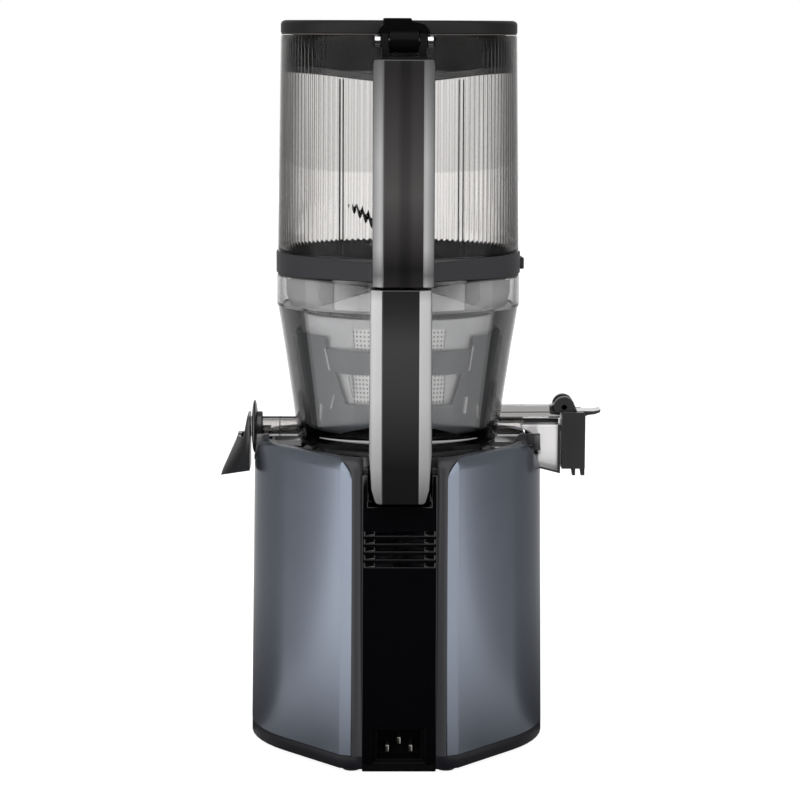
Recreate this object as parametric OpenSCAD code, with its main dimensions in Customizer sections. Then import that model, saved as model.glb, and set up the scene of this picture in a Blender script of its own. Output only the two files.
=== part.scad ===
// Upright cold press juicer: motor base, juice bowl with screw, hopper and hinged lid.
// Millimetres. +Z is up, the origin is on the worktop under the screw axis,
// -Y is the handle side, +X the juice side and -X the pulp side.

/* [Base] */
// Radius of the base at its foot
base_r = 88.5; // [86:0.5:92]
// Distance from the screw axis to the flat back of the base
base_back = 99.5; // [98:0.5:103]
// Half width of the flat back of the base
back_half = 32; // [30:0.5:36]
// How far the base wall leans in from the foot to the rim
base_lean = 2.2; // [0:0.1:4]
// Height of the base rim above the worktop
rim_z = 184; // [182:0.5:188]
// Radius that rounds the rim of the base
rim_round = 6; // [4:0.5:8]
// Wall of the base shell
shell_wall = 2.5; // [2:0.1:3]
// Height of the feet
feet_h = 2.5; // [2:0.1:4]
// Height of the dark band round the foot of the base
band_h = 7.6; // [6:0.1:9]
// Half width of the gloss spine on the back
spine_half = 21.4; // [19:0.1:23]
// Half width of the gap between the two side panels
panel_gap_half = 27.6; // [25:0.1:30]
// Radius of the upper corner of each side panel
panel_corner = 11; // [6:0.5:14]
// Depth of the deck, on which the bowl stands, below the rim of the base
deck_drop = 6; // [4:0.5:8]
// Thickness of the deck
deck_t = 3; // [2.5:0.1:4]
// Number of cooling slots in the spine
vent_count = 5; // [3:1:6]
// Distance between the cooling slots
vent_pitch = 4.6; // [4:0.1:5]

/* [Motor and gears] */
// Radius of the motor's iron
stator_r = 38; // [34:0.5:40]
// Radius of the turning iron
rotor_r = 20; // [16:0.5:22]
// Height of the motor's iron
stack_h = 36; // [24:1:40]
// Height of the floor of the gear case
case_z = 96; // [92:0.5:100]
// Gap between the gears and the wall of the gear case
case_gap = 2.2; // [1:0.1:5]
// Wall of the gear case
case_wall = 3; // [2.5:0.1:4]
// Face width of the first gear pair
face_one = 6; // [4:0.5:6.5]
// Face width of the second gear pair
face_two = 8; // [6:0.5:8.5]
// Face width of the last gear pair
face_three = 10; // [8:0.5:11]
// Radius of the steel pins that carry the gears
axle_r = 3; // [2:0.1:3.2]
// Radius of the output shaft
drive_r = 8; // [7:0.1:8.5]
// Hexagon on the output shaft, across flats
hex_flats = 13; // [11:0.1:13.5]
// Clearance of the hexagon in the screw's socket, each side
hex_fit = 0.15; // [0.05:0.05:0.3]

/* [Dial] */
// Radius of the control dial
dial_r = 19; // [15:0.5:22]
// Distance from the floor of the gear case down to the dial's centre
dial_drop = 16; // [15:0.5:24]
// How far the dial stands out of its bezel
dial_proud = 4; // [2:0.5:8]

/* [Bowl] */
// Outer radius of the bowl at its foot
bowl_foot_r = 59; // [57:0.5:60]
// Outer radius of the bowl's shoulder band
bowl_r = 72.9; // [71:0.1:74]
// Distance from the screw axis to the flat back of the shoulder band
bowl_back = 93; // [90:0.5:95]
// Height of the bowl from its foot to its rim
bowl_h = 103.7; // [100:0.1:110]
// Height of the bowl's shoulder band
shoulder_h = 18.3; // [16:0.1:20]
// Wall of the bowl
bowl_wall = 2.8; // [2.2:0.1:3.2]
// Thickness of the bowl's floor
bowl_floor = 3; // [2.5:0.1:3.5]
// Outer radius of the juice and pulp tubes
tube_r = 6.1; // [5:0.1:6.2]
// Wall of the juice and pulp tubes
tube_wall = 1.4; // [1:0.1:2]
// Height of the axis of both tubes above the bowl's foot
tube_rise = 10.6; // [10:0.1:12]
// Radius of the pulp control ring
pulp_ring_r = 16; // [13:0.5:17]
// Width of the spout block across the juice side
spout_w = 22; // [18:0.5:26]

/* [Screw and strainer] */
// Gap between the bowl's wall and the foot of the wiper cage
cage_foot_gap = 4.9; // [4.5:0.1:6]
// Gap between the bowl's wall and the top of the wiper cage
cage_top_gap = 5.6; // [4.5:0.1:7]
// Height of the strainer's collar above the wiper cage
collar_h = 10.9; // [8:0.1:13]
// Wall of the wiper cage
cage_wall = 2.2; // [1.8:0.1:2.4]
// Gap between the wiper cage and the strainer
cage_gap = 1; // [0.6:0.1:1.2]
// Wall of the strainer's frame
strainer_wall = 2; // [1.6:0.1:2.4]
// Thickness of the strainer's steel sheet
mesh_t = 0.5; // [0.3:0.1:0.8]
// Distance from the bowl's shoulder band down to the top of the strainer
collar_drop = 4.2; // [2:0.1:8]
// Gap between the screw's thread and the steel sheet
screw_gap = 0.8; // [0.5:0.1:2]
// Height that one turn of the screw's thread climbs
screw_pitch = 44; // [36:1:60]
// How far the screw stands above the bowl's rim
screw_over = 18; // [8:1:22]
// Height of the cutting wing above the screw
wing_h = 22; // [14:1:30]

/* [Hopper] */
// How far the dark ring stands out past the bowl's band
ring_step = 0.3; // [0:0.1:1.5]
// Height of the dark ring
ring_h = 13.2; // [11:0.1:15]
// Width of the ledge that the ring leaves round the foot of the hopper
ring_ledge = 0.9; // [0.3:0.1:1.5]
// How much narrower the hopper is at its top than at its foot
hopper_taper = 2; // [0:0.1:3]
// Wall of the hopper at its top
hopper_wall_t = 3.7; // [2.8:0.1:4.5]
// Height of the clear hopper above the dark ring
hopper_h = 127.9; // [115:0.1:140]
// Half width of both handle bars
grip_half = 17.5; // [15:0.1:18]
// Half width of the flat middle of both handle bars
grip_flat_half = 10.7; // [9:0.1:12]
// Thickness of the handle bars
grip_t = 15; // [12:0.5:16]
// Radius of the lid's hinge pin
pin_r = 2.2; // [1.8:0.1:2.6]
// Distance from the hopper's rim down to the lid's hinge
hinge_drop = 3; // [2:0.5:4]
// Radius of the safety rod inside the upper handle
rod_r = 3.6; // [2.5:0.1:4]

/* [Lid] */
// Thickness of the lid
lid_t = 7.7; // [6:0.1:9]
// Gap between the lid's skirt and the hopper
skirt_gap = 3.1; // [1:0.1:5]
// Depth of the lid's skirt
skirt_h = 24; // [15:0.5:30]
// Wall of the lid's skirt
skirt_wall = 2.4; // [2:0.1:3]

/* [Hidden] */
$fn = 96;
big = 400;

// Fits and gaps
rest_gap = 0.3;
run_fit = 0.05;
air_gap = 0.6;
slide_gap = 0.4;

// Slope in degrees of the two flat sides that run from a circle to its flat back
function side_slope(r, back, half) = atan2(back, half) - acos(r / norm([back, half]));

// Plan of the base and of the ring: a circle with two flat sides that meet a flat back
plan_steps = 44;
ring_r = bowl_r + ring_step;
base_side = side_slope(base_r, base_back, back_half);
ring_side = side_slope(ring_r, bowl_back, grip_half);
base_bevel = 4.2;
ring_bevel = 1.5;

// Base levels
plate_z = feet_h;
plate_t = 3;
plate_floor = plate_z + plate_t;
panel_z = feet_h + band_h;
deck_z = rim_z - deck_drop;
spine_z = feet_h + 2.5;
spine_t = 3.4;
recess_z = deck_z - 21.4;
recess_half = grip_half + 2 * slide_gap;
recess_back = bowl_back - 13.5;
vent_z = recess_z - 35.1;
vent_half = spine_half - 1.2;
vent_h = 2.6;
deck_inset = base_lean + rim_round + 2;

// Power inlet
inlet_half = 15;
inlet_low = spine_z + 0.4;
inlet_high = inlet_low + 22;
inlet_depth = 19;
inlet_wall = 2.2;
inlet_recess = 3;
pin_spread = 6.8;
pin_rise = 8;
earth_rise = 12.6;
pin_half = 1;
pin_high = 2;

// Gear train: modules, tooth counts and places of the axles in plan
m_one = 0.8;
m_two = 1;
m_three = 1.25;
m_bowl = 1.5;
t_motor = 12;
t_first = 48;
t_first_small = 12;
t_second = 42;
t_second_small = 14;
t_output = 40;
t_sun = 18;
t_idler = 16;
t_ring = 50;
pressure = 25;
addendum = 0.8;
dedendum = 1.1;
backlash = 0.16;
reach_three = m_three * (t_second_small + t_output) / 2;
reach_two = m_two * (t_first_small + t_second) / 2;
reach_one = m_one * (t_motor + t_first) / 2;
second_angle = 60;
first_angle = 180;
motor_angle = -100;
second_at = reach_three * [cos(second_angle), sin(second_angle)];
first_at = second_at + reach_two * [cos(first_angle), sin(first_angle)];
motor_at = first_at + reach_one * [cos(motor_angle), sin(motor_angle)];
case_at = [2, 13];
case_r = norm(second_at - case_at) + m_two * (t_second / 2 + addendum) + case_gap;

// Gear levels
case_floor = 4;
lid_plate = 4;
level_one = case_z + case_floor + 6;
level_two = level_one + face_one + 2.5;
level_three = level_two + face_two + 1.5;
case_top = level_three + face_three + 3;
gear_lid_top = case_top + lid_plate;
hub_wall = 2.4;

// Motor
shaft_r = 4;
neck_r = m_one * (t_motor / 2 - dedendum);
stack_z = 40;
coil_h = 8;
coil_r = stator_r - 5;
cradle_z = 14;
cradle_t = 4;
holder_wall = 3;
holder_h = 10;
fan_z = 22;
fan_r = 32;
fan_h = 8;
post_r = 5;
post_spread = stator_r - 6;
dial_z = case_z - dial_drop;

// Bowl, strainer and screw levels
seat_z = deck_z + rest_gap;
bowl_top = seat_z + bowl_h;
band_z = bowl_top - shoulder_h;
tube_z = seat_z + tube_rise;
floor_z = seat_z + bowl_floor;
floor_top = floor_z + bowl_floor;
gear_z = floor_top + rest_gap;
gear_face = 5;
idler_reach = m_bowl * (t_sun + t_idler) / 2;
strainer_z = gear_z + gear_face + 2;
strainer_floor = 2.2;
screw_z = strainer_z + strainer_floor + 1;
screw_core = 15;
hub_r = 11;
band_step = 0.4;
// Shares of the way up to the band and out from the foot to the band along the bowl's wall
bowl_curve = [[0.2, 0.22], [0.37, 0.36], [0.74, 0.7]];
bowl_profile = [[bowl_foot_r, seat_z], [bowl_foot_r + 0.6, floor_top],
    for (c = bowl_curve) [bowl_foot_r + c[1] * (bowl_r - bowl_foot_r), seat_z + c[0] * (band_z - seat_z)],
    [bowl_r - band_step, band_z + band_step]];

// Outside and inside radius of the bowl at a height
function bowl_outer(z) = lookup(z, [for (p = bowl_profile) [p[1], p[0]]]);
function bowl_inner(z) = bowl_outer(z) - bowl_wall;

collar_top = band_z - collar_drop;
cage_top = collar_top - collar_h;
cage_foot_r = bowl_foot_r - bowl_wall - cage_foot_gap;
cage_top_r = bowl_inner(cage_top) - cage_top_gap;
screw_top = bowl_top + screw_over;
wing_top = screw_top + wing_h;

// Hopper levels
ring_z = bowl_top + 0.9;
ring_top = ring_z + ring_h;
hopper_top = ring_top + hopper_h;
hopper_foot_r = ring_r - ring_ledge;
hopper_top_r = hopper_foot_r - hopper_taper;
hopper_bore_r = hopper_top_r - hopper_wall_t;
skirt_r = hopper_bore_r - skirt_gap;
collar_wall = 2.4;
collar_low_r = bowl_r - bowl_wall - 5.1;
collar_high_r = bowl_r - bowl_wall - 2.7;
key_h = 2.7;
key_half = 38.5;
key_gap = 0.4;
key_front = 2 - sqrt(hopper_bore_r * hopper_bore_r - key_half * key_half);
lid_z = hopper_top + 1;
lid_top = lid_z + lid_t;
lid_bevel = 1.2;
hinge_z = hopper_top - hinge_drop;
grip_y = bowl_back + grip_t;
hinge_y = -bowl_back - 3;
hinge_front = 10.3 - hopper_top_r;
knuckle_half = 10;
knuckle_r = 6.6;
boss_half = 17;
boss_rise = 1.2;
ear_gap = 0.4;
ear_half = 14;
ear_r = 5.8;
hinge_slot_z = hinge_z - 13.5;
bridge_z = hopper_top - 22;
rod_z = ring_top + 6.9;
rod_head_h = 10;
rod_top = hinge_slot_z - 11;
rod_y = -(grip_y - grip_t / 2);

// Outlets
notch_left_r = pulp_ring_r + 1.4;
notch_right_r = spout_w / 2 + 3;
lip_t = 3;
outside_x = base_r + 0.6;
tube_out_x = outside_x + 7.1;
tube_lip_x = outside_x + 1.6;
ring_x = outside_x - 4.4;
ring_t = 3.5;
chute_half = 13;
chute_wall = 2;
chute_top = tube_z + 7.5;
chute_low = tube_z - 27.9;
chute_step_z = tube_z - 6.3;
chute_cut_z = tube_z - 4.9;
spout_x = outside_x + 8.9;
spout_inner_x = outside_x - 13.4;
spout_wall = 2;
spout_top = tube_z + 1.5;
spout_low = tube_z - 27.5;
spout_saddle = tube_z - 7.3;
cap_x = spout_x + 0.8;
cap_t = 14.8;
cap_wall = 2.5;
cap_low = spout_low + 1.9;
cap_high = spout_top + 6.6;
cap_pin_at = [cap_x + 1.6, cap_high + 4.9];
prong_t = 2.2;
lever_reach = 24.2;
lever_half = 7;
cap_pin_r = 1.6;
cap_knuckle_r = 4.6;
cap_ear_in = 4.8;
cap_ear_out = 8.6;

// ---- Outlines and helpers ------------------------------------------------------------

// Circle of radius r whose back is drawn out to a flat at -back; side is the slope of the
// two flats in degrees and bevel cuts the two back corners.
function plan(r, back, side, bevel) =
    let (half = (r - back * sin(side)) / cos(side), span = 180 + 2 * side)
    concat(
        [for (i = [0 : plan_steps]) let (a = i * span / plan_steps - side) r * [cos(a), sin(a)]],
        [[-half - bevel * sin(side), -back + bevel * cos(side)], [bevel - half, -back],
         [half - bevel, -back], [half + bevel * sin(side), -back + bevel * cos(side)]]);

function base_plan(inset) = plan(base_r - inset, base_back - inset, base_side, base_bevel);
function ring_plan(inset) = plan(ring_r - inset, bowl_back - inset, ring_side, ring_bevel);
function band_plan(inset) = plan(bowl_r - inset, bowl_back - inset, ring_side, ring_bevel);

// Closed wall whose section is a loop of [height, inset] pairs carried round the base plan
module plan_wall(section) {
    rings = [for (s = section) [for (p = base_plan(s[1])) [p[0], p[1], s[0]]]];
    n = len(rings[0]);
    m = len(section);
    polyhedron(
        points = [for (ring = rings) each ring],
        faces = [for (j = [0 : m - 1], i = [0 : n - 1], half = [0, 1])
            let (a = j * n + i, b = j * n + (i + 1) % n,
                 c = ((j + 1) % m) * n + (i + 1) % n, d = ((j + 1) % m) * n + i)
            half == 0 ? [a, c, b] : [a, d, c]]);
}

module tube(r, inner, h) {
    difference() {
        cylinder(r = r, h = h);
        translate([0, 0, -1]) cylinder(r = inner, h = h + 2);
    }
}

module plate(points, z, h) {
    translate([0, 0, z]) linear_extrude(h) polygon(points);
}

module block(low, high) {
    translate(low) cube(high - low);
}

// Copies its children onto the far side of the YZ plane as well
module both_sides() {
    for (side = [0, 1]) mirror([side, 0, 0]) children();
}

module along_x(x) {
    translate([x, 0, 0]) rotate([0, 90, 0]) children();
}

// Solid drawn in the XZ plane and spread from y = low to y = high
module front_plate(points, low, high) {
    translate([0, high, 0]) rotate([90, 0, 0]) linear_extrude(high - low) polygon(points);
}

// ---- Gear teeth ----------------------------------------------------------------------

function involute(a) = tan(a) * 180 / PI - a;

function half_tooth(m, teeth, play, r) =
    let (pitch_r = m * teeth / 2, root_r = pitch_r * cos(pressure),
         at = r > root_r ? acos(root_r / r) : 0)
    90 / teeth - play / pitch_r * 45 / PI + involute(pressure) - involute(at);

// Outline of a gear whose first tooth points along phase. out and in are the heights of the
// teeth above and below the pitch circle, in modules.
function gear_outline(m, teeth, phase, out, in, play) =
    let (pitch_r = m * teeth / 2, tip = pitch_r + out * m, root = pitch_r - in * m,
         mid = (pitch_r + tip) / 2, low = max(root, pitch_r * cos(pressure) + 0.02),
         flank = [root, (low + pitch_r) / 2, mid, tip])
    [for (i = [0 : teeth - 1], k = [0 : 7])
        let (r = k < 4 ? flank[k] : flank[7 - k], side = k < 4 ? -1 : 1,
             a = phase + 360 * i / teeth + side * half_tooth(m, teeth, play, max(r, low)))
        r * [cos(a), sin(a)]];

module gear(m, teeth, phase, z, face) {
    plate(gear_outline(m, teeth, phase, addendum, dedendum, backlash), z, face);
}

// Phase of the gear at the far end of a line at the given angle, so that it meshes
function meshed(phase, teeth, angle, next_teeth) =
    angle + 180 + 180 / next_teeth - (phase - angle) * teeth / next_teeth;

motor_phase = 0;
first_phase = meshed(motor_phase, t_motor, motor_angle + 180, t_first);
first_small_phase = 0;
second_phase = meshed(first_small_phase, t_first_small, first_angle + 180, t_second);
second_small_phase = 0;
output_phase = meshed(second_small_phase, t_second_small, second_angle + 180, t_output);
idler_phase = meshed(0, t_sun, 0, t_idler);
ring_phase = idler_phase * t_idler / t_ring;

// ---- Motor base ----------------------------------------------------------------------

foot_places = [[back_half - 4.5, 10.5 - base_back], [base_r - 44.5, 31.5 - base_back], [base_r - 26.5, 34]];
screw_places = [[base_r - 36.5, -48], [base_r - 30.5, 50]];
screw_boss_r = 5;
screw_boss_h = 22;
screw_r = 2;
screw_len = 20;

module base_plate() {
    color([0.10, 0.10, 0.11]) {
        difference() {
            union() {
                plate(base_plan(0), plate_z, plate_t);
                difference() {
                    plate(base_plan(0), plate_floor, panel_z - plate_floor);
                    plate(base_plan(shell_wall + 0.3), plate_floor - 1, panel_z);
                }
                difference() {
                    plate(base_plan(shell_wall + 0.3), plate_floor, 9);
                    plate(base_plan(shell_wall + 2.3), plate_floor - 1, 20);
                }
                both_sides() for (p = screw_places)
                    translate([p[0], p[1], plate_floor]) cylinder(r = screw_boss_r, h = screw_boss_h);
                for (p = cradle_posts())
                    translate([p[0], p[1], plate_floor])
                        cylinder(r = post_r, h = cradle_z - plate_floor - damper_h);
                both_sides() block([board_half + 0.2, board_y - 3, plate_floor],
                    [board_half + 3.2, board_y + board_t + 3, plate_floor + 16]);
            }
            block([-spine_half, -base_back - 1, plate_z - 1], [spine_half, -base_back + spine_t, 40]);
            block([-inlet_half - 0.2, -base_back - 1, plate_floor - 0.6],
                [inlet_half + 0.2, -base_back + inlet_depth + 0.2, 40]);
            both_sides() for (p = screw_places) translate([p[0], p[1], -1]) {
                cylinder(r = screw_r, h = 40);
                cylinder(r = screw_head_r, h = plate_z + 1 + screw_head_h);
            }
            for (i = [-3 : 3]) block([i * slot_pitch - slot_w / 2, base_r - 36.5, plate_z - 1],
                [i * slot_pitch + slot_w / 2, base_r - 14.5, plate_floor + 1]);
        }
    }
}

slot_pitch = 9;
slot_w = 4;
screw_head_r = 3.6;
screw_head_h = 1.6;
board_half = 29;
board_y = 25.5 - base_back;
board_t = 1.6;
board_h = 90.5;
damper_h = 3;

function cradle_posts() = [for (a = [45 : 90 : 315]) motor_at + post_spread * [cos(a), sin(a)]];

module feet() {
    color([0.16, 0.13, 0.12])
        both_sides() for (p = foot_places) translate([p[0], p[1], 0]) rotate_extrude()
            polygon([[0, 0], [4.6, 0], [5.6, 0.8], [6, plate_z], [0, plate_z]]);
}

shell_section = [[panel_z, 0], [rim_z - rim_round, base_lean],
    for (a = [30, 60, 90])
        [rim_z - rim_round * (1 - sin(a)), base_lean + rim_round * (1 - cos(a))],
    [rim_z, base_lean + rim_round + 2], [rim_z - shell_wall, base_lean + rim_round + 2],
    [rim_z - rim_round, base_lean + shell_wall], [panel_z, shell_wall]];

// Outline, seen from behind, of the gap between the side panels with its rounded top corners
module panel_gap() {
    low = panel_z - 1;
    arc_x = panel_gap_half + panel_corner;
    arc_z = rim_z - panel_corner;
    corner = [for (a = [180 : -15 : 90]) [arc_x, arc_z] + panel_corner * [cos(a), sin(a)]];
    half = concat([[panel_gap_half, low]], corner, [[arc_x, rim_z + 2]]);
    front_plate(concat(half, [for (i = [len(half) - 1 : -1 : 0]) [-half[i][0], half[i][1]]]),
        -base_back - 1, -base_r / 2);
}

// Cuts in the rim where the pulp and juice tubes cross it
module rim_notches(extra) {
    translate([-base_r - 5, 0, tube_z]) rotate([0, 90, 0])
        cylinder(r = notch_left_r + extra, h = base_r / 2);
    translate([base_r + 5, 0, tube_z]) rotate([0, -90, 0])
        cylinder(r = notch_right_r + extra, h = base_r / 2);
}

module shell_blank() {
    difference() {
        plan_wall(shell_section);
        rim_notches(lip_t);
    }
}

module outer_shell() {
    color([0.42, 0.44, 0.48]) difference() {
        shell_blank();
        panel_gap();
        translate([0, base_r + 5, dial_z]) rotate([90, 0, 0]) cylinder(r = dial_r + 4, h = 40);
    }
}

module spine_frame() {
    color([0.27, 0.28, 0.29]) difference() {
        intersection() {
            shell_blank();
            panel_gap();
        }
        block([-spine_half - 0.1, -base_back - 1, 0], [spine_half + 0.1, -base_r / 2, rim_z + 2]);
    }
}

module rear_spine() {
    color([0.03, 0.03, 0.04]) difference() {
        union() {
            block([-spine_half, -base_back, spine_z], [spine_half, -base_back + spine_t, deck_z - deck_t]);
            difference() {
                block([-spine_half, -base_back + spine_t, recess_z - 2.5],
                    [spine_half, -recess_back + 2.5, deck_z - deck_t]);
                block([-recess_half, -base_back, recess_z], [recess_half, -recess_back, deck_z]);
            }
        }
        block([-recess_half, -base_back - 1, recess_z], [recess_half, -recess_back, deck_z]);
        for (i = [0 : vent_count - 1]) translate([0, 0, vent_z + i * vent_pitch]) {
            block([-vent_half, -base_back - 1, 0], [vent_half, -base_back + 1.4, vent_h]);
            block([6 - vent_half, -base_back - 1, 0], [vent_half - 6, -base_back + spine_t + 1, vent_h]);
        }
        block([-inlet_half, -base_back - 1, spine_z - 1], [inlet_half, -recess_back, inlet_high]);
    }
}

module top_deck() {
    color([0.07, 0.07, 0.08]) difference() {
        union() {
            plate(base_plan(base_lean + shell_wall + 0.4), deck_z - deck_t, deck_t);
            difference() {
                plate(base_plan(deck_inset + 0.1), deck_z - 1, rim_z - 0.5 - deck_z + 1);
                plate(base_plan(deck_inset + 2.1), deck_z - 2, 10);
            }
            for (p = deck_posts)
                translate([p[0], p[1], gear_lid_top])
                    cylinder(r = post_r, h = deck_z - deck_t - gear_lid_top);
            translate([0, 0, deck_z - 9]) cylinder(r = seal_r + 3, h = 9 - deck_t);
            intersection() {
                difference() {
                    rim_notches(lip_t - 0.1);
                    rim_notches(0.4);
                }
                difference() {
                    plate(base_plan(base_lean - 0.6), deck_z - 12, rim_z + 3 - deck_z + 12);
                    plate(base_plan(base_lean + shell_wall + 4), deck_z - 13, rim_z);
                }
            }
        }
        rim_notches(0.4);
        translate([0, 0, deck_z - 10]) cylinder(r = seal_r, h = 20);
        block([-recess_half, -base_back - 1, deck_z - 20], [recess_half, -recess_back, rim_z]);
        block([-spine_half - 0.1, -base_back - 1, deck_z - deck_t - 20],
            [spine_half + 0.1, -recess_back + 3, deck_z - deck_t]);
    }
}

seal_r = drive_r + 4;
deck_posts = [for (a = [18 : 72 : 306]) case_at + (case_r + case_wall - post_r) * [cos(a), sin(a)]];

module deck_seal() {
    color([0.20, 0.20, 0.21]) translate([0, 0, deck_z - 8]) tube(seal_r, drive_r + rest_gap, 6);
}

module power_inlet() {
    color([0.05, 0.05, 0.05]) difference() {
        block([-inlet_half, -base_back + inlet_recess, inlet_low],
            [inlet_half, -base_back + inlet_depth, inlet_high]);
        block([-inlet_half + inlet_wall, -base_back, inlet_low + inlet_wall],
            [inlet_half - inlet_wall, -base_back + inlet_depth - inlet_wall, inlet_high - inlet_wall]);
        for (p = inlet_places) block(
            [p[0] - pin_half, -base_back + inlet_depth - 5, p[1] - pin_high],
            [p[0] + pin_half, -base_back + inlet_depth + 1, p[1] + pin_high]);
    }
}

inlet_places = [[-pin_spread, inlet_low + pin_rise], [pin_spread, inlet_low + pin_rise],
    [0, inlet_low + earth_rise]];

module inlet_pins() {
    color([0.75, 0.74, 0.70]) for (p = inlet_places) block(
        [p[0] - pin_half, -base_back + inlet_recess + 3, p[1] - pin_high],
        [p[0] + pin_half, -base_back + inlet_depth + 4, p[1] + pin_high]);
}

// Transformer and relay on the board: place across and up, width, depth and height
board_blocks = [[-18, 24.5, 14, 12, 18], [4, 18.5, 18, 9, 16]];
can_r = 3.5;
can_h = 11;
can_pitch = 9;

module control_board() {
    color([0.10, 0.32, 0.16]) {
        block([-board_half, board_y, plate_floor], [board_half, board_y + board_t, plate_floor + board_h]);
        for (c = board_blocks) translate([c[0], board_y + board_t, plate_floor + c[1]])
            cube([c[2], c[3], c[4]]);
        for (i = [0 : 3]) translate([i * can_pitch - 20, board_y + board_t, plate_floor + board_h - 26])
            rotate([-90, 0, 0]) cylinder(r = can_r, h = can_h);
    }
}

capacitor_r = 12.5;
capacitor_h = 52;

module run_capacitor() {
    color([0.75, 0.75, 0.76]) translate([base_r - 34.5, -28, plate_floor])
        cylinder(r = capacitor_r, h = capacitor_h);
}

module case_screws() {
    color([0.62, 0.62, 0.63]) both_sides() for (p = screw_places) translate([p[0], p[1], plate_z]) {
        cylinder(r = screw_r, h = screw_len);
        cylinder(r = screw_head_r, h = screw_head_h);
    }
}

module motor_cradle() {
    color([0.70, 0.71, 0.73]) translate([motor_at[0], motor_at[1], cradle_z]) difference() {
        union() {
            cylinder(r = stator_r + holder_wall, h = cradle_t);
            tube(stator_r + holder_wall, stator_r, stack_z + holder_h - cradle_z);
            cylinder(r = shaft_r + 4, h = cradle_t + 2);
        }
        translate([0, 0, -1]) cylinder(r = shaft_r + run_fit, h = 20);
        for (a = [0 : 90 : 270]) rotate([0, 0, a]) {
            block([shaft_r + 8, -9, -1], [stator_r - 4, 9, cradle_t + 1]);
            block([stator_r - 6, -12, cradle_t + 2], [stator_r + 8, 12, stack_z - cradle_z - 4]);
        }
    }
}

module motor_dampers() {
    color([0.12, 0.12, 0.12]) for (p = cradle_posts())
        translate([p[0], p[1], cradle_z - damper_h]) cylinder(r = post_r + 1.5, h = damper_h);
}

stator_slots = 12;

module motor_stator() {
    color([0.45, 0.46, 0.48]) translate([motor_at[0], motor_at[1], stack_z]) difference() {
        tube(stator_r, rotor_r + air_gap, stack_h);
        for (a = [0 : 360 / stator_slots : 359]) rotate([0, 0, a])
            block([rotor_r + 3, -2.2, -1], [stator_r - 5, 2.2, stack_h + 1]);
    }
}

module motor_coils() {
    color([0.72, 0.38, 0.18]) for (z = [stack_z - coil_h, stack_z + stack_h])
        translate([motor_at[0], motor_at[1], z]) for (a = [0 : 90 : 270]) rotate([0, 0, a + 45])
            difference() {
                tube(coil_r, rotor_r + 3, coil_h);
                block([-coil_r - 1, -coil_r - 1, -1], [coil_r + 1, 3, coil_h + 1]);
                block([-coil_r - 1, -1, -1], [3, coil_r + 1, coil_h + 1]);
            }
}

module gearbox_case() {
    color([0.66, 0.67, 0.69]) difference() {
        union() {
            translate([case_at[0], case_at[1], case_z]) difference() {
                cylinder(r = case_r + case_wall, h = case_top - case_z);
                translate([0, 0, case_floor]) cylinder(r = case_r, h = case_top);
            }
            for (p = case_screw_places) translate([p[0], p[1], case_z])
                cylinder(r = lid_boss_r, h = case_top - case_z);
            translate([motor_at[0], motor_at[1], stack_z + stack_h - holder_h]) difference() {
                tube(stator_r + holder_wall, stator_r, case_z - stack_z - stack_h + holder_h);
                for (a = [0 : 90 : 270]) rotate([0, 0, a]) block([stator_r - 6, -12, holder_h + 4],
                    [stator_r + 8, 12, case_z - stack_z - stack_h + holder_h - 2]);
            }
        }
        translate([motor_at[0], motor_at[1], case_z - 1]) cylinder(r = shaft_r + run_fit, h = 10);
        for (p = [first_at, second_at]) translate([p[0], p[1], case_z + 1]) cylinder(r = axle_r, h = 10);
        translate([0, 0, case_z + 1]) cylinder(r = drive_r - 2 + run_fit, h = 10);
        for (p = case_screw_places) translate([p[0], p[1], case_top - lid_screw_len - 2])
            cylinder(r = lid_screw_r, h = lid_screw_len + 4);
    }
}

case_screw_places = [for (a = [54 : 72 : 342]) case_at + (case_r + case_wall + 1) * [cos(a), sin(a)]];
lid_boss_r = 4.5;
lid_screw_r = 1.5;
lid_screw_len = 12;
bearing_r = 14;
bearing_h = 8;

module gearbox_lid() {
    color([0.62, 0.63, 0.65]) difference() {
        union() {
            translate([case_at[0], case_at[1], case_top]) cylinder(r = case_r + case_wall, h = lid_plate);
            for (p = case_screw_places) translate([p[0], p[1], case_top])
                cylinder(r = lid_boss_r, h = lid_plate);
            translate([0, 0, case_top]) cylinder(r = bearing_r + 3, h = bearing_h + 1);
        }
        translate([0, 0, case_top - 1]) cylinder(r = drive_r + 1.5, h = 20);
        translate([0, 0, case_top + 1]) cylinder(r = bearing_r, h = 20);
        for (p = [first_at, second_at]) translate([p[0], p[1], case_top - 1]) cylinder(r = axle_r, h = 4);
        for (p = case_screw_places) translate([p[0], p[1], case_top - 1])
            cylinder(r = lid_screw_r, h = lid_plate + 2);
    }
}

module gear_axles() {
    color([0.80, 0.80, 0.82]) for (p = [first_at, second_at])
        translate([p[0], p[1], case_z + 1]) cylinder(r = axle_r, h = case_top + 3 - case_z - 1);
}

module output_bearings() {
    color([0.78, 0.78, 0.80]) translate([0, 0, case_top + 1]) tube(bearing_r, drive_r + run_fit, bearing_h);
}

module gearbox_screws() {
    color([0.60, 0.60, 0.62]) for (p = case_screw_places) translate([p[0], p[1], gear_lid_top]) {
        cylinder(r = 2 * lid_screw_r, h = 2);
        translate([0, 0, -lid_screw_len]) cylinder(r = lid_screw_r, h = lid_screw_len);
    }
}

dial_back = base_r - 12;
dial_shaft_r = 3;

module dial_bezel() {
    color([0.55, 0.56, 0.58]) translate([0, 0, dial_z]) rotate([-90, 0, 0]) difference() {
        translate([0, 0, dial_back]) cylinder(r = dial_r + 4, h = base_r + 1 - dial_back);
        translate([0, 0, dial_back + 2]) cylinder(r = dial_r + 0.6, h = 40);
        translate([0, 0, dial_back - 1]) cylinder(r = dial_shaft_r + 1, h = 5);
    }
}

switch_t = 12;

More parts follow.
